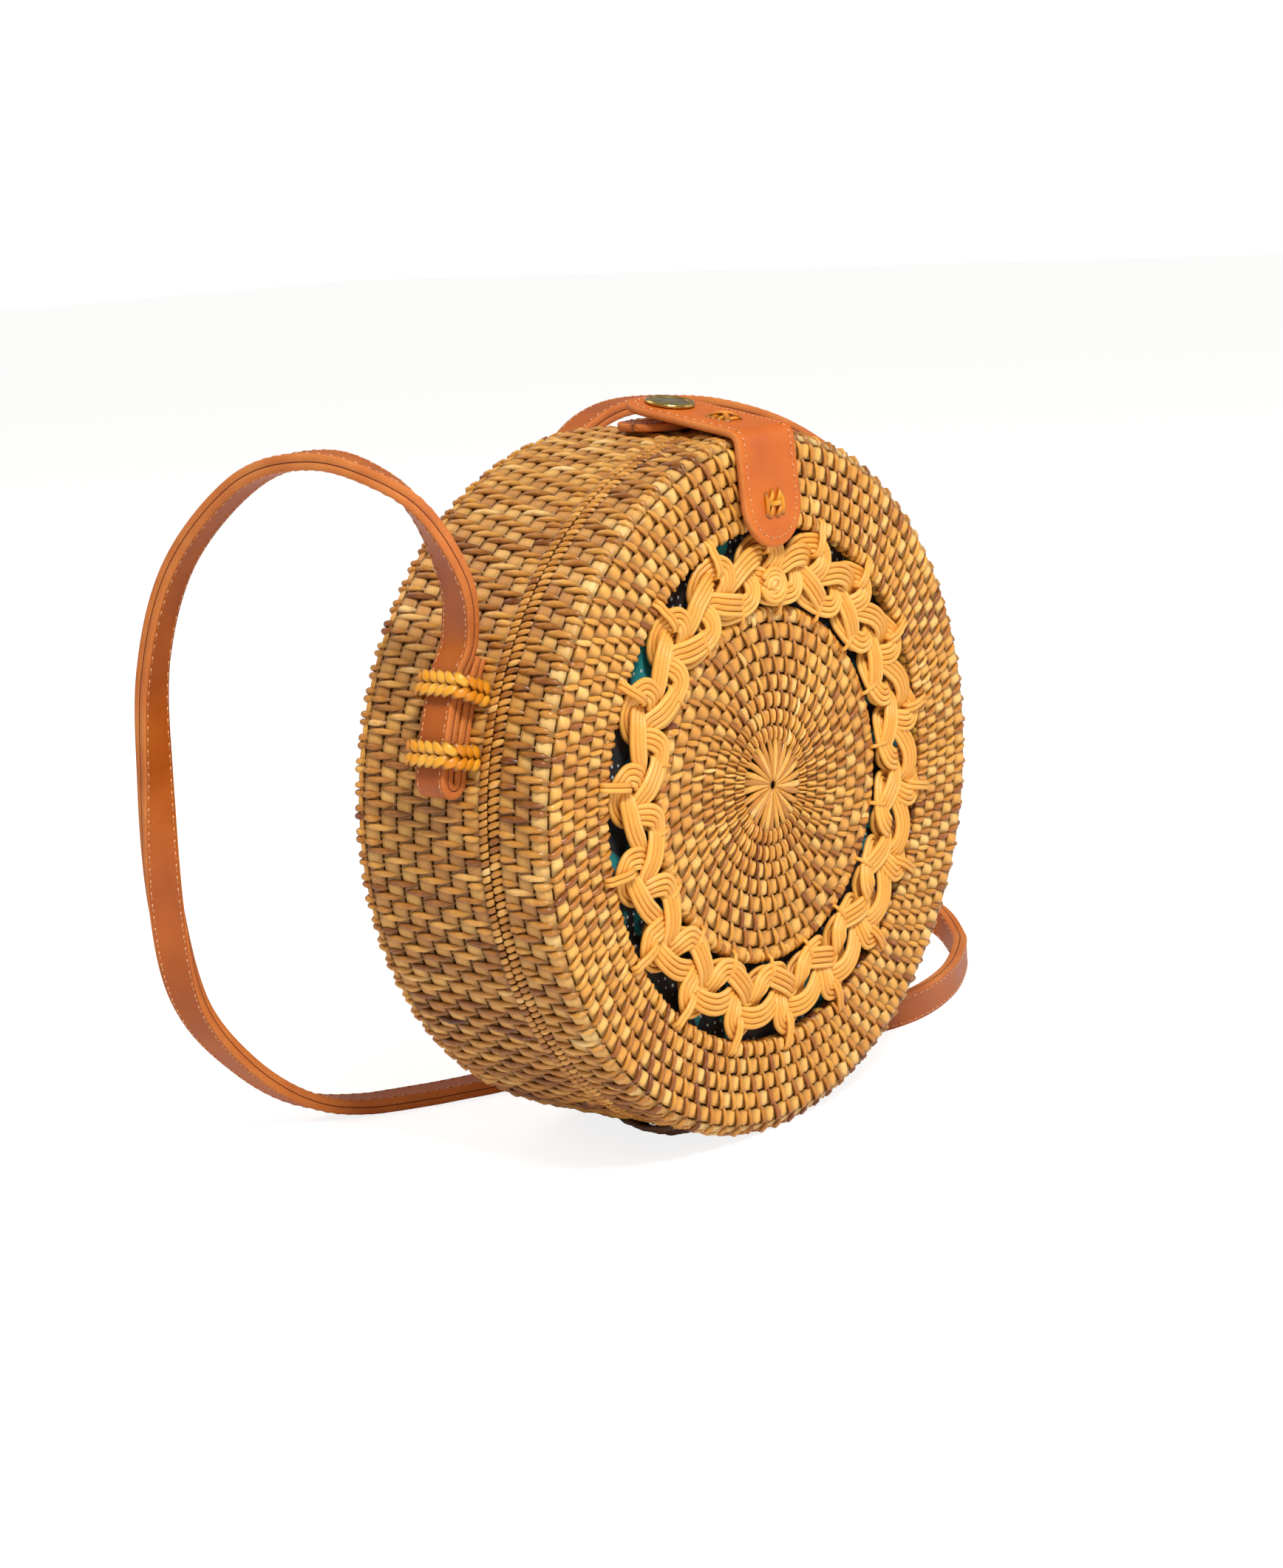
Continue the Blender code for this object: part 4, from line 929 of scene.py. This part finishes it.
def leatherSection(half, thick):  # flat faces, softened edges
    e = min(0.45 * mm, half * 0.4)
    f = min(1.0 * mm, half * 0.6)
    a = thick - 0.4 * mm
    face = [(-half + e, thick), (-half + f, thick), (0, thick), (half - f, thick), (half - e, thick), (half, a),
            (half, -a)]
    return face + [(-u, -v) for u, v in face]


leatherSlots = [0, 0, 0, 0, 1, 1, 1] * 2


def leatherStripInto(shape, at, length, half, thick):
    first = len(shape["points"])
    runs = stripRuns(length, half)
    size = len(leatherSlots)
    for run, wide in runs:
        middle, _, out = at(run)
        tip = min(1.0, 0.55 + wide / half)
        for u, v in leatherSection(wide, thick):
            shape["points"].append(middle + Vector((u, 0, 0)) + out * v * tip)
            shape["tone"].append(0.5)
            shape["crest"].append(1.0)
            shape["grain"].append((run, u, 0.0))
    joinRows(shape, first, len(runs), size, leatherSlots, False)
    last = first + (len(runs) - 1) * size
    shape["faces"] += [tuple(first + k for k in reversed(range(size))), tuple(last + k for k in range(size))]
    shape["slots"] += [1, 1]


shape = newShape()
leatherStripInto(shape, closureAt, closureLength, closure["halfWidth"], halfThick)
closureLeather = makePiece("closure_leather", shape, [leatherFace, leatherEdge], None,
                           ["closure_strap", "closure_flap"])
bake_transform(closureLeather)


def stitchLineInto(shape, at, length, half, look):
    # dashes of thread round a strip with round ends, set in from its edge
    line = []
    inner = half - look["inset"]
    steps = 24
    for k in range(steps + 1):
        angle = math.pi / 2 + math.pi * k / steps
        line.append((half + inner * math.cos(angle), inner * math.sin(angle)))
    straight = max(2, round((length - 2 * half) / (1.0 * mm)))
    line += [(half + (length - 2 * half) * k / straight, -inner) for k in range(1, straight)]
    for k in range(steps + 1):
        angle = -math.pi / 2 + math.pi * k / steps
        line.append((length - half + inner * math.cos(angle), inner * math.sin(angle)))
    line += [(length - half - (length - 2 * half) * k / straight, inner) for k in range(1, straight)]
    runs = lengthsOf(line + line[:1])

    def along(distance):
        k, t = spanAt(runs, distance % runs[-1])
        x0, u0 = line[k]
        x1, u1 = line[(k + 1) % len(line)]
        middle, _, out = at(x0 + (x1 - x0) * t)
        return middle + Vector((u0 + (u1 - u0) * t, 0, 0)), out

    count = round(runs[-1] / look["pitch"])
    radius = look["radius"]
    for number in range(count):
        begin = number * runs[-1] / count
        stations = []
        for t in (0.0, 0.2, 0.5, 0.8, 1.0):
            here, out = along(begin + look["dash"] * t)
            ahead = along(begin + look["dash"] * t + 0.0002)[0] - here
            side = ahead.cross(out).normalized()
            lift = look["surface"] + radius * (0.9 * math.sin(math.pi * t) - 0.55)
            stations.append((here + out * lift, side * radius, out * radius))
        sweepInto(shape, stations, roundSection, 0.5, number)


shape = newShape()
stitchLineInto(shape, closureAt, closureLength, closure["halfWidth"],
               {"inset": 2.4 * mm, "surface": halfThick, "pitch": 3.1 * mm, "dash": 2.1 * mm, "radius": 0.2 * mm})
closureThread = makePiece("closure_thread", shape, [thread], None, ())
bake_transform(closureThread)
print("closure sewn")

# leather tab on the body, under the flap
tab = {"front": -12.4 * mm, "length": 24.9 * mm, "half": 12.5 * mm, "thick": 1.1 * mm, "middle": 203.1 * mm}


def tabAt(run):
    return Vector((0, tab["front"] + run, tab["middle"])), Vector((0, 1, 0)), Vector((0, 0, 1))


shape = newShape()
leatherStripInto(shape, tabAt, tab["length"], tab["half"], tab["thick"])
makePiece("base_tab_leather", shape, [leatherFace, leatherEdge], "body", ["base_tab"])
shape = newShape()
stitchLineInto(shape, tabAt, tab["length"], tab["half"],
               {"inset": 2.4 * mm, "surface": tab["thick"], "pitch": 3.1 * mm, "dash": 2.2 * mm, "radius": 0.26 * mm})
makePiece("base_tab_thread", shape, [thread], "body", ())


def turnedPiece(name, outline, place, up, materials, body, node, brightFrom=None, steps=40):
    # stamped metal turned about its own axis, from (radius, height) in millimetres
    shape = newShape()
    side = Vector((1, 0, 0))
    other = up.cross(side)
    size = len(outline)
    for step in range(steps):
        angle = 2 * math.pi * step / steps
        spoke = side * math.cos(angle) + other * math.sin(angle)
        for radius, height in outline:
            shape["points"].append(place + spoke * radius * mm + up * height * mm)
    for step in range(steps):
        here = step * size
        there = (step + 1) % steps * size
        for k in range(size - 1):
            shape["faces"].append((here + k, here + k + 1, there + k + 1, there + k))
            bright = brightFrom and (outline[k][0] + outline[k + 1][0]) / 2 > brightFrom
            shape["slots"].append(1 if bright else 0)
    shape["faces"] += [tuple(step * size for step in range(steps)),
                       tuple(step * size + size - 1 for step in range(steps))]
    shape["slots"] += [0, 0]
    plainInto(shape)
    makePiece(name, shape, materials, body, [node])


# press stud
snapTop = splitPoint + riseWay * closure["snapReach"] + riseUp * halfThick
capOutline = [(0.2, 1.30), (2.5, 1.27), (4.6, 1.12), (5.45, 0.92), (5.65, 0.85), (5.85, 1.05), (6.15, 1.36),
              (6.5, 1.46), (6.85, 1.36), (7.15, 1.02), (7.3, 0.62), (7.15, 0.3), (1.4, 0.3), (1.4, -2.4),
              (0.2, -2.4)]
turnedPiece("snap_cap_metal", capOutline, snapTop, riseUp, [brassAntique, brassBright], "flap", "snap_cap", 5.7, 64)
socketOutline = [(0.2, -2.7), (3.9, -2.7), (4.15, -2.85), (4.2, -3.0), (4.0, -3.35), (3.5, -3.6), (2.8, -3.6),
                 (2.7, -3.4), (2.7, -3.0), (0.2, -3.0)]
turnedPiece("snap_socket_metal", socketOutline, snapTop, riseUp, [brassAntique], "flap", "snap_socket")
studTop = Vector((0, (snapTop - riseUp * 3.0 * mm).y, tab["middle"] + tab["thick"]))
studOutline = [(0.2, 1.0), (1.3, 1.0), (1.75, 0.9), (1.9, 0.75), (1.75, 0.6), (1.6, 0.5), (2.2, 0.5), (2.2, 0.3),
               (1.4, 0.3), (1.4, -2.2), (0.2, -2.2)]
turnedPiece("snap_stud_metal", studOutline, studTop, Vector((0, 0, 1)), [brassAntique], "body", "snap_stud")
washerOutline = [(0.2, 0.4), (4.1, 0.4), (4.4, 0.3), (4.5, 0.2), (4.4, 0.1), (4.1, 0.0), (0.2, 0.0)]
washerPlace = Vector((studTop.x, studTop.y, 201.3 * mm))
turnedPiece("stud_washer_metal", washerOutline, washerPlace, Vector((0, 0, 1)), [brassAntique], "body", "stud_washer")
print("press stud made")


def rattanStitch(name, place, along, out, look, body, node, seed):
    # rattan strip sewn through the leather: loops laid side by side, then crossed
    shape = newShape()
    draws = random.Random(seed)
    side = Vector((1, 0, 0))
    for start, end, height in look["loops"]:
        a = place + along * start[1] * mm + side * start[0] * mm
        b = place + along * end[1] * mm + side * end[0] * mm
        way = (b - a).normalized()
        cross = way.cross(out).normalized()
        stations = []
        paintedLightLevels = []
        for t in (0.0, 0.12, 0.32, 0.5, 0.68, 0.88, 1.0):
            bell = math.sin(math.pi * t)
            stations.append((a.lerp(b, t) + out * (height * mm * bell ** 0.6 - 0.3 * mm), cross * look["width"] * mm,
                             out * look["thick"] * mm))
            # painted shade: each loop is painted darker towards the ends where it goes into the leather
            paintedLightLevels.append(0.2 + 0.8 * bell)
        sweepInto(shape, stations, roundSection, draws.uniform(0.35, 0.8), draws.uniform(0, 9), paintedLightLevels)
    makePiece(name, shape, [lashing], body, [node])


topPlace = splitPoint + riseWay * ((-22.8 * mm - splitPoint.y) / riseWay.y) + riseUp * halfThick
# each loop is (across, along) of both ends in mm and how high it stands
topLoops = [((-4.2, -3.2), (4.2, -2.6), 0.7), ((-4.4, -0.8), (4.3, -0.3), 0.8), ((-4.2, 1.7), (4.3, 2.2), 0.7),
            ((-3.4, -4.2), (3.2, 4.2), 1.5), ((3.4, -4.0), (-3.2, 4.0), 1.9), ((-4.0, 3.4), (3.9, 3.9), 0.7)]
rattanStitch("closure_top_stitch_strip", topPlace, riseWay, riseUp, {"width": 0.85, "thick": 0.5, "loops": topLoops},
             "lid", "closure_top_stitch", 101)
frontOut = Vector((0, -leanWay.z, leanWay.y))
frontPlace = bendStart - leanWay * 17.8 * mm + frontOut * halfThick
frontLoops = [((-3.2, -3.8), (-0.6, 0.2), 1.0), ((0.2, -3.8), (3.0, 0.2), 1.0), ((-3.0, 0.0), (-0.2, 4.0), 1.0),
              ((0.6, 0.0), (3.2, 4.0), 1.0), ((-3.6, -3.4), (-3.4, 3.6), 0.7), ((3.6, -3.6), (3.5, 3.4), 0.7),
              ((-3.4, 0.1), (3.4, 0.2), 1.4)]
rattanStitch("closure_front_stitch_strip", frontPlace, leanWay, frontOut,
             {"width": 0.8, "thick": 0.5, "loops": frontLoops}, "lid", "closure_front_stitch", 102)
tabLoops = [((-1.6, -3.6), (-1.5, 3.6), 0.5), ((0.0, -3.7), (0.1, 3.7), 0.5), ((1.6, -3.6), (1.6, 3.6), 0.5)]
rattanStitch("base_tab_stitch_strip", Vector((0, studTop.y + 8.2 * mm, studTop.z)), Vector((0, 1, 0)),
             Vector((0, 0, 1)), {"width": 0.7, "thick": 0.4, "loops": tabLoops}, "body", "base_tab_stitch", 103)
print("rattan stitches sewn")

# strap: two layers of leather sewn together, folded at both ends and lashed to the wall
strap = {"width": 10 * mm, "thick": 4.5 * mm, "centreY": -3.0 * mm, "foldGap": 0.7 * mm, "crest": 100.884 * mm,
         "fitGap": 0.3 * mm, "tailTop": 28.5, "tailFold": 10.0, "tailLeave": 26.0, "step": 3.0 * mm,
         "stitchPitch": 3.6 * mm, "stitchDash": 2.4 * mm, "stitchInset": 1.1 * mm}
# the free run from tail to tail: places in drum radii, and the way that the strap's width points there
strapRoute = [
    ((-0.952, -0.050, 1.549), (0.00, 1.00, 0.00)), ((-0.993, -0.090, 1.706), (0.15, 1.00, 0.00)),
    ((-1.040, -0.030, 1.886), (0.55, 0.85, 0.00)), ((-1.093, 0.060, 1.980), (0.80, 0.60, 0.00)),
    ((-1.124, 0.249, 2.033), (1.00, 0.20, 0.00)), ((-1.130, 0.517, 1.977), (1.00, 0.05, 0.00)),
    ((-1.140, 0.796, 1.751), (0.98, 0.17, 0.00)), ((-1.139, 0.945, 1.458), (0.98, 0.17, 0.00)),
    ((-1.109, 1.015, 1.119), (0.95, -0.10, 0.00)), ((-1.087, 1.040, 0.721), (0.75, -0.62, 0.00)),
    ((-1.040, 1.020, 0.433), (0.30, -0.95, 0.00)), ((-0.893, 0.980, 0.222), (0.05, -1.00, 0.00)),
    ((-0.697, 0.940, 0.073), (0.00, -1.00, 0.00)), ((-0.507, 0.846, 0.024), (-0.20, -1.00, 0.00)),
    ((-0.249, 0.708, 0.024), (-0.45, -0.88, 0.00)), ((0.060, 0.587, 0.024), (-0.45, -0.80, -0.15)),
    ((0.358, 0.418, 0.024), (-0.38, -0.70, -0.45)), ((0.637, 0.179, 0.024), (-0.15, -0.30, -0.90)),
    ((0.856, 0.020, 0.024), (0.00, 0.00, -1.00)), ((1.104, -0.030, 0.024), (0.00, 0.00, -1.00)),
    ((1.393, 0.030, 0.024), (0.00, 0.00, -1.00)), ((1.682, 0.169, 0.024), (0.00, 0.00, -1.00)),
    ((1.841, 0.289, 0.055), (0.00, 0.00, -1.00)), ((1.905, 0.428, 0.114), (0.00, 0.00, -1.00)),
    ((1.831, 0.617, 0.179), (0.00, 0.00, -1.00)), ((1.552, 0.816, 0.254), (0.05, 0.15, -1.00)),
    ((1.124, 0.915, 0.373), (0.15, 0.40, -0.90)), ((0.677, 0.876, 0.582), (0.20, 0.80, -0.55)),
    ((0.289, 0.746, 0.910), (0.10, 0.99, -0.10)), ((0.070, 0.577, 1.348), (0.00, 1.00, 0.00)),
    ((-0.010, 0.458, 1.732), (0.00, 1.00, 0.00)), ((0.070, 0.428, 1.937), (0.00, 1.00, 0.00)),
    ((0.289, 0.443, 2.025), (0.00, 1.00, 0.00)), ((0.557, 0.428, 2.029), (0.05, 1.00, 0.00)),
    ((0.786, 0.368, 1.988), (0.20, 1.00, 0.00)), ((0.945, 0.249, 1.900), (0.25, 1.00, 0.00)),
    ((1.030, 0.080, 1.736), (0.10, 1.00, 0.00)), ((1.000, -0.010, 1.597), (0.00, 1.00, 0.00)),
]


def strapTail(side):  # an end lashed to the wall: in under the ties, round the fold and out again over itself
    inner = strap["crest"] + strap["fitGap"] + strap["thick"] / 2
    layer = strap["thick"] + strap["foldGap"]
    points = []
    top, fold, leave = (math.radians(strap[key]) for key in ("tailTop", "tailFold", "tailLeave"))

    def at(angle, radius):
        return Vector((side * radius * math.cos(angle), strap["centreY"], bag["centre"].z + radius * math.sin(angle)))

    steps = 12
    points += [at(top + (fold - top) * k / steps, inner) for k in range(steps + 1)]
    middle = at(fold, inner + layer / 2)
    out = Vector((side * math.cos(fold), 0, math.sin(fold)))
    down = Vector((side * math.sin(fold), 0, -math.cos(fold)))
    for k in range(1, 10):
        angle = math.pi * k / 10
        points.append(middle - out * (layer / 2 * math.cos(angle)) + down * (layer / 2 * math.sin(angle)))
    points += [at(fold + (leave - fold) * k / steps, inner + layer) for k in range(steps + 1)]
    return points


def smoothRun(rows, step):  # a smooth curve through all rows but the first and last, cut into steps
    result = []
    for i in range(1, len(rows) - 2):
        (before, _), (start, leanA), (end, leanB), (after, _) = rows[i - 1:i + 3]
        count = max(1, round((end - start).length / step))
        for part in range(count):
            t = part / count
            at = 0.5 * (2 * start + (end - before) * t + (2 * before - 5 * start + 4 * end - after) * t ** 2
                        + (3 * start - before - 3 * end + after) * t ** 3)
            result.append((at, leanA.lerp(leanB, t)))
    result.append(rows[-2])
    return result


level = Vector((0, 1, 0))
leftTail = [(at, level) for at in strapTail(-1)]
rightTail = [(at, level) for at in reversed(strapTail(1))]
freeRun = [(Vector(at) * bag["radius"], Vector(lean)) for at, lean in strapRoute]
strapPath = leftTail[:-1] + smoothRun([leftTail[-2], leftTail[-1]] + freeRun + [rightTail[0], rightTail[1]],
                                      strap["step"]) + rightTail[1:]
strapFrames = []
for i, (at, lean) in enumerate(strapPath):
    ahead = (strapPath[min(i + 1, len(strapPath) - 1)][0] - strapPath[max(i - 1, 0)][0]).normalized()
    wide = (lean - ahead * lean.dot(ahead)).normalized()
    thick = ahead.cross(wide).normalized()
    rest = abs(wide.z) * strap["width"] / 2 + abs(thick.z) * strap["thick"] / 2
    height = max(at.z, rest)
    nearFloor = max(0.0, 1 - height / 0.05)
    strapFrames.append((Vector((at.x, at.y, height + bag["floor"] * nearFloor)), wide, thick))

halfW = strap["width"] / 2
halfT = strap["thick"] / 2
soft = 0.4 * mm
groove = 0.16 * mm
strapFront = [(-halfW + soft, halfT), (-halfW + 1.0 * mm, halfT), (0, halfT), (halfW - 1.0 * mm, halfT),
              (halfW - soft, halfT), (halfW, halfT - soft), (halfW, groove), (halfW - 0.18 * mm, 0),
              (halfW, -groove), (halfW, -halfT + soft)]
strapSection = strapFront + [(-u, -v) for u, v in strapFront]
shape = newShape()
sweepInto(shape, strapFrames, strapSection, 0.5, 0.0, slots=[0, 0, 0, 0, 1, 1, 2, 2, 1, 1] * 2)
makePiece("strap_leather", shape, [strapFace, leatherEdge, seamDark], "body", ["strap"])
runs = [0.0]
for a, b in zip(strapFrames, strapFrames[1:]):
    runs.append(runs[-1] + (b[0] - a[0]).length)
print("strap cut, %.3f m long" % runs[-1])


def strapAt(distance):  # middle, way across and way out at a distance along the strap
    k, t = spanAt(runs, distance)
    return tuple(strapFrames[k][n].lerp(strapFrames[k + 1][n], t) for n in range(3))


shape = newShape()
squareSection = [(-0.7, -0.7), (0.7, -0.7), (0.7, 0.7), (-0.7, 0.7)]
count = int(runs[-1] / strap["stitchPitch"])
for edge in (-1, 1):
    for face in (-1, 1):
        for number in range(count):
            stations = []
            for t in (0.0, 0.25, 0.75, 1.0):
                middle, wide, thick = strapAt(number * strap["stitchPitch"] + strap["stitchDash"] * t)
                lift = halfT + 0.22 * mm * (1.3 * math.sin(math.pi * t) - 0.8)
                stations.append((middle + wide * edge * (halfW - strap["stitchInset"]) + thick * face * lift,
                                 wide * 0.26 * mm, thick * face * 0.22 * mm))
            sweepInto(shape, stations, squareSection, 0.5, number)
makePiece("strap_thread", shape, [thread], "body", ())
print("strap sewn")

# lashings of the strap: a flat strip plaited in two rows over both layers
tie = {"upper": 23.2, "lower": 13.6, "halfSpan": 8.0 * mm, "halfHeight": 3.6 * mm, "pitch": 2.7 * mm,
       "strip": 1.4 * mm, "dash": 4.2 * mm}
hub = Vector((0, strap["centreY"], bag["centre"].z))
base = strap["crest"] + 0.3 * mm
top = base + 2 * strap["thick"] + strap["foldGap"] + 0.9 * mm
span = tie["halfSpan"]
# the band that the plait is laid on, as (y from the strap's middle, radius), from wall to wall over the strap
path = [(-span + 0.5 * mm, base - 0.6 * mm), (-span + 0.2 * mm, base + 2.5 * mm),
        (-span + 0.2 * mm, top - 3.2 * mm), (-span + 1.2 * mm, top - 1.0 * mm), (-span + 2.8 * mm, top),
        (0, top + 0.2 * mm), (span - 2.8 * mm, top), (span - 1.2 * mm, top - 1.0 * mm),
        (span - 0.2 * mm, top - 3.2 * mm), (span - 0.5 * mm, base - 0.6 * mm)]
bandRuns = lengthsOf(path)
for sideSign, sideWord in ((-1, "left"), (1, "right")):
    for heightWord in ("upper", "lower"):
        angle = math.radians(tie[heightWord])
        out = Vector((sideSign * math.cos(angle), 0, math.sin(angle)))
        up = Vector((-sideSign * math.sin(angle), 0, math.cos(angle)))
        shape = newShape()
        draws = random.Random(111 + sideSign + len(heightWord))

        def bandAt(distance):  # middle, way along the band and way out of it
            k, t = spanAt(bandRuns, distance)
            y, radius = (path[k][n] + (path[k + 1][n] - path[k][n]) * t for n in range(2))
            run = (level * (path[k + 1][0] - path[k][0]) + out * (path[k + 1][1] - path[k][1])).normalized()
            return hub + out * radius + level * y, run, run.cross(up)

        stations = []
        for distance in bandRuns:
            middle, _, over = bandAt(min(distance, bandRuns[-1] - 1e-6))
            stations.append((middle, up * tie["halfHeight"] * 0.85, over * 0.5 * mm))
        facing = 1 if stations[5][2].dot(out) > 0 else -1
        # painted shade: the band under the loops gets a dark tone, so the gaps between loops read as shade
        sweepInto(shape, stations, roundSection, 0.10, 0.0)
        loops = int((bandRuns[-1] - 3.0 * mm) / tie["pitch"])
        for row in (-1, 1):
            for loop in range(loops):
                start = 1.2 * mm + (loop + (0.25 if row > 0 else 0.0)) * tie["pitch"]
                stations = []
                paintedLightLevels = []
                for t in (0.0, 0.12, 0.3, 0.5, 0.7, 0.88, 1.0):
                    bell = math.sin(math.pi * t)
                    middle, run, over = bandAt(start + tie["dash"] * (t - 0.35))
                    over = over * facing
                    way = (run * 0.76 + up * row * 0.65).normalized()
                    cross = way.cross(over).normalized()
                    reach = row * (0.1 + 3.3 * t) * mm
                    stations.append((middle + up * reach + over * (0.55 + 0.75 * bell ** 0.6) * mm,
                                     cross * tie["strip"] * (0.5 + 0.5 * bell), over * 0.6 * mm * (0.6 + 0.4 * bell)))
                    # painted shade: each loop is painted darker towards its ends, where it tucks under the next
                    paintedLightLevels.append(0.05 + 0.95 * bell)
                sweepInto(shape, stations, roundSection, draws.uniform(0.4, 0.95), loop, paintedLightLevels)
        node = "strap_tie_%s_%s" % (sideWord, heightWord)
        makePiece(node + "_plait", shape, [lashing], "body", [node])
print("lashings plaited")

# hinge loops of dark cane across the seam
hinge = {"angle": 22.0, "loops": 5, "pitch": 2.3 * mm, "reach": 10.5 * mm, "rise": 3.2 * mm, "cane": 1.05 * mm}
for sideSign, sideWord in ((-1, "left"), (1, "right")):
    shape = newShape()
    draws = random.Random(131 + sideSign)
    for loop in range(hinge["loops"]):
        offset = (loop - (hinge["loops"] - 1) / 2) * hinge["pitch"] / bag["radius"]
        angle = -math.pi / 2 + sideSign * math.radians(hinge["angle"]) + offset
        out = spokeAt(angle)
        tangent = tangentAt(angle)
        stations = []
        paintedLightLevels = []
        twist = draws.uniform(-0.5, 0.5) * mm
        for k in range(15):
            t = k / 14
            bell = math.sin(math.pi * t)
            y = bag["seam"] + (t - 0.5) * 2 * hinge["reach"]
            ripple = 0.25 * mm * math.sin(t * 16 + loop * 2)
            lift = hinge["rise"] * bell ** 0.5 - 1.2 * mm + ripple
            sway = tangent * twist * (t - 0.5) * 2
            stations.append((bag["centre"] + out * (bag["radius"] + lift) + Vector((0, y, 0)) + sway,
                             tangent * hinge["cane"], out * hinge["cane"] * 0.8))
            # painted shade: each loop is painted darker towards its ends
            paintedLightLevels.append(0.3 + 0.7 * bell)
        sweepInto(shape, stations, roundSection, draws.uniform(0.2, 0.8), loop, paintedLightLevels)
    piece = makePiece("hinge_%s_loops" % sideWord, shape, [hingeCane], None,
                      ["hinge_%s_body_leaf" % sideWord, "hinge_%s_lid_leaf" % sideWord])
    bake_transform(piece)
print("hinges looped")


# pale floor and soft light
def floorMaterial():
    # painted board: matt white, seen near white by the camera, with the object's shadow kept
    material, tree = newMaterial("board_painted_matt_white")
    specks = overObject(tree, "ShaderNodeTexNoise", 4.0, {"Detail": 2.0})
    tint = addNode(tree, "ShaderNodeValToRGB", {"stops": [(0.3, "#F4F3F1"), (0.7, "#F8F8F7")]},
                   {"Fac": specks.outputs["Fac"]})
    paint = addNode(tree, "ShaderNodeBsdfDiffuse", {}, {"Color": tint.outputs["Color"]})
    glow = addNode(tree, "ShaderNodeEmission", {"Color": (1, 1, 1, 1), "Strength": 1.40})
    path = addNode(tree, "ShaderNodeLightPath")
    share = addNode(tree, "ShaderNodeMath", {"operation": "MULTIPLY", 1: 0.60}, {0: path.outputs["Is Camera Ray"]})
    mixed = addNode(tree, "ShaderNodeMixShader", {},
                    {0: share.outputs[0], 1: paint.outputs[0], 2: glow.outputs[0]})
    addNode(tree, "ShaderNodeOutputMaterial", {}, {"Surface": mixed.outputs[0]})
    return material


floorMesh = bpy.data.meshes.new("floor")
reach = 6.0
floorMesh.from_pydata([(-reach, -reach, bag["floor"]), (reach, -reach, bag["floor"]), (reach, reach, bag["floor"]),
                       (-reach, reach, bag["floor"])], [], [(0, 1, 2, 3)])
floorMesh.materials.append(floorMaterial())
floorObject = bpy.data.objects.new("floor", floorMesh)
bpy.context.scene.collection.objects.link(floorObject)

world = bpy.data.worlds.new("studio")
bpy.context.scene.world = world
world.use_nodes = True
tree = world.node_tree
tree.nodes.clear()
path = addNode(tree, "ShaderNodeLightPath")
seen = addNode(tree, "ShaderNodeBackground", {"Color": (1, 1, 1, 1), "Strength": 1.0})
lit = addNode(tree, "ShaderNodeBackground", {"Color": linear("#F8F4EE"), "Strength": 0.38})
mixed = addNode(tree, "ShaderNodeMixShader", {},
                {0: path.outputs["Is Camera Ray"], 1: lit.outputs[0], 2: seen.outputs[0]})
addNode(tree, "ShaderNodeOutputWorld", {}, {"Surface": mixed.outputs[0]})

lamps = [
    {"name": "key", "at": (-0.60, -0.95, 1.45), "size": 0.40, "power": 27.0},
    {"name": "fill", "at": (1.2, -0.9, 0.7), "size": 1.2, "power": 4.0},
    {"name": "back", "at": (-0.3, 1.2, 1.1), "size": 1.0, "power": 5.0},
]
for lamp in lamps:
    lampData = bpy.data.lights.new(lamp["name"], "AREA")
    lampData.size = lamp["size"]
    lampData.energy = lamp["power"]
    lampObject = bpy.data.objects.new(lamp["name"], lampData)
    lampObject.location = lamp["at"]
    lampObject.rotation_euler = (bag["centre"] - Vector(lamp["at"])).to_track_quat("-Z", "Y").to_euler()
    bpy.context.scene.collection.objects.link(lampObject)
bpy.context.scene.view_settings.view_transform = "Standard"
print("floor and lamps set")
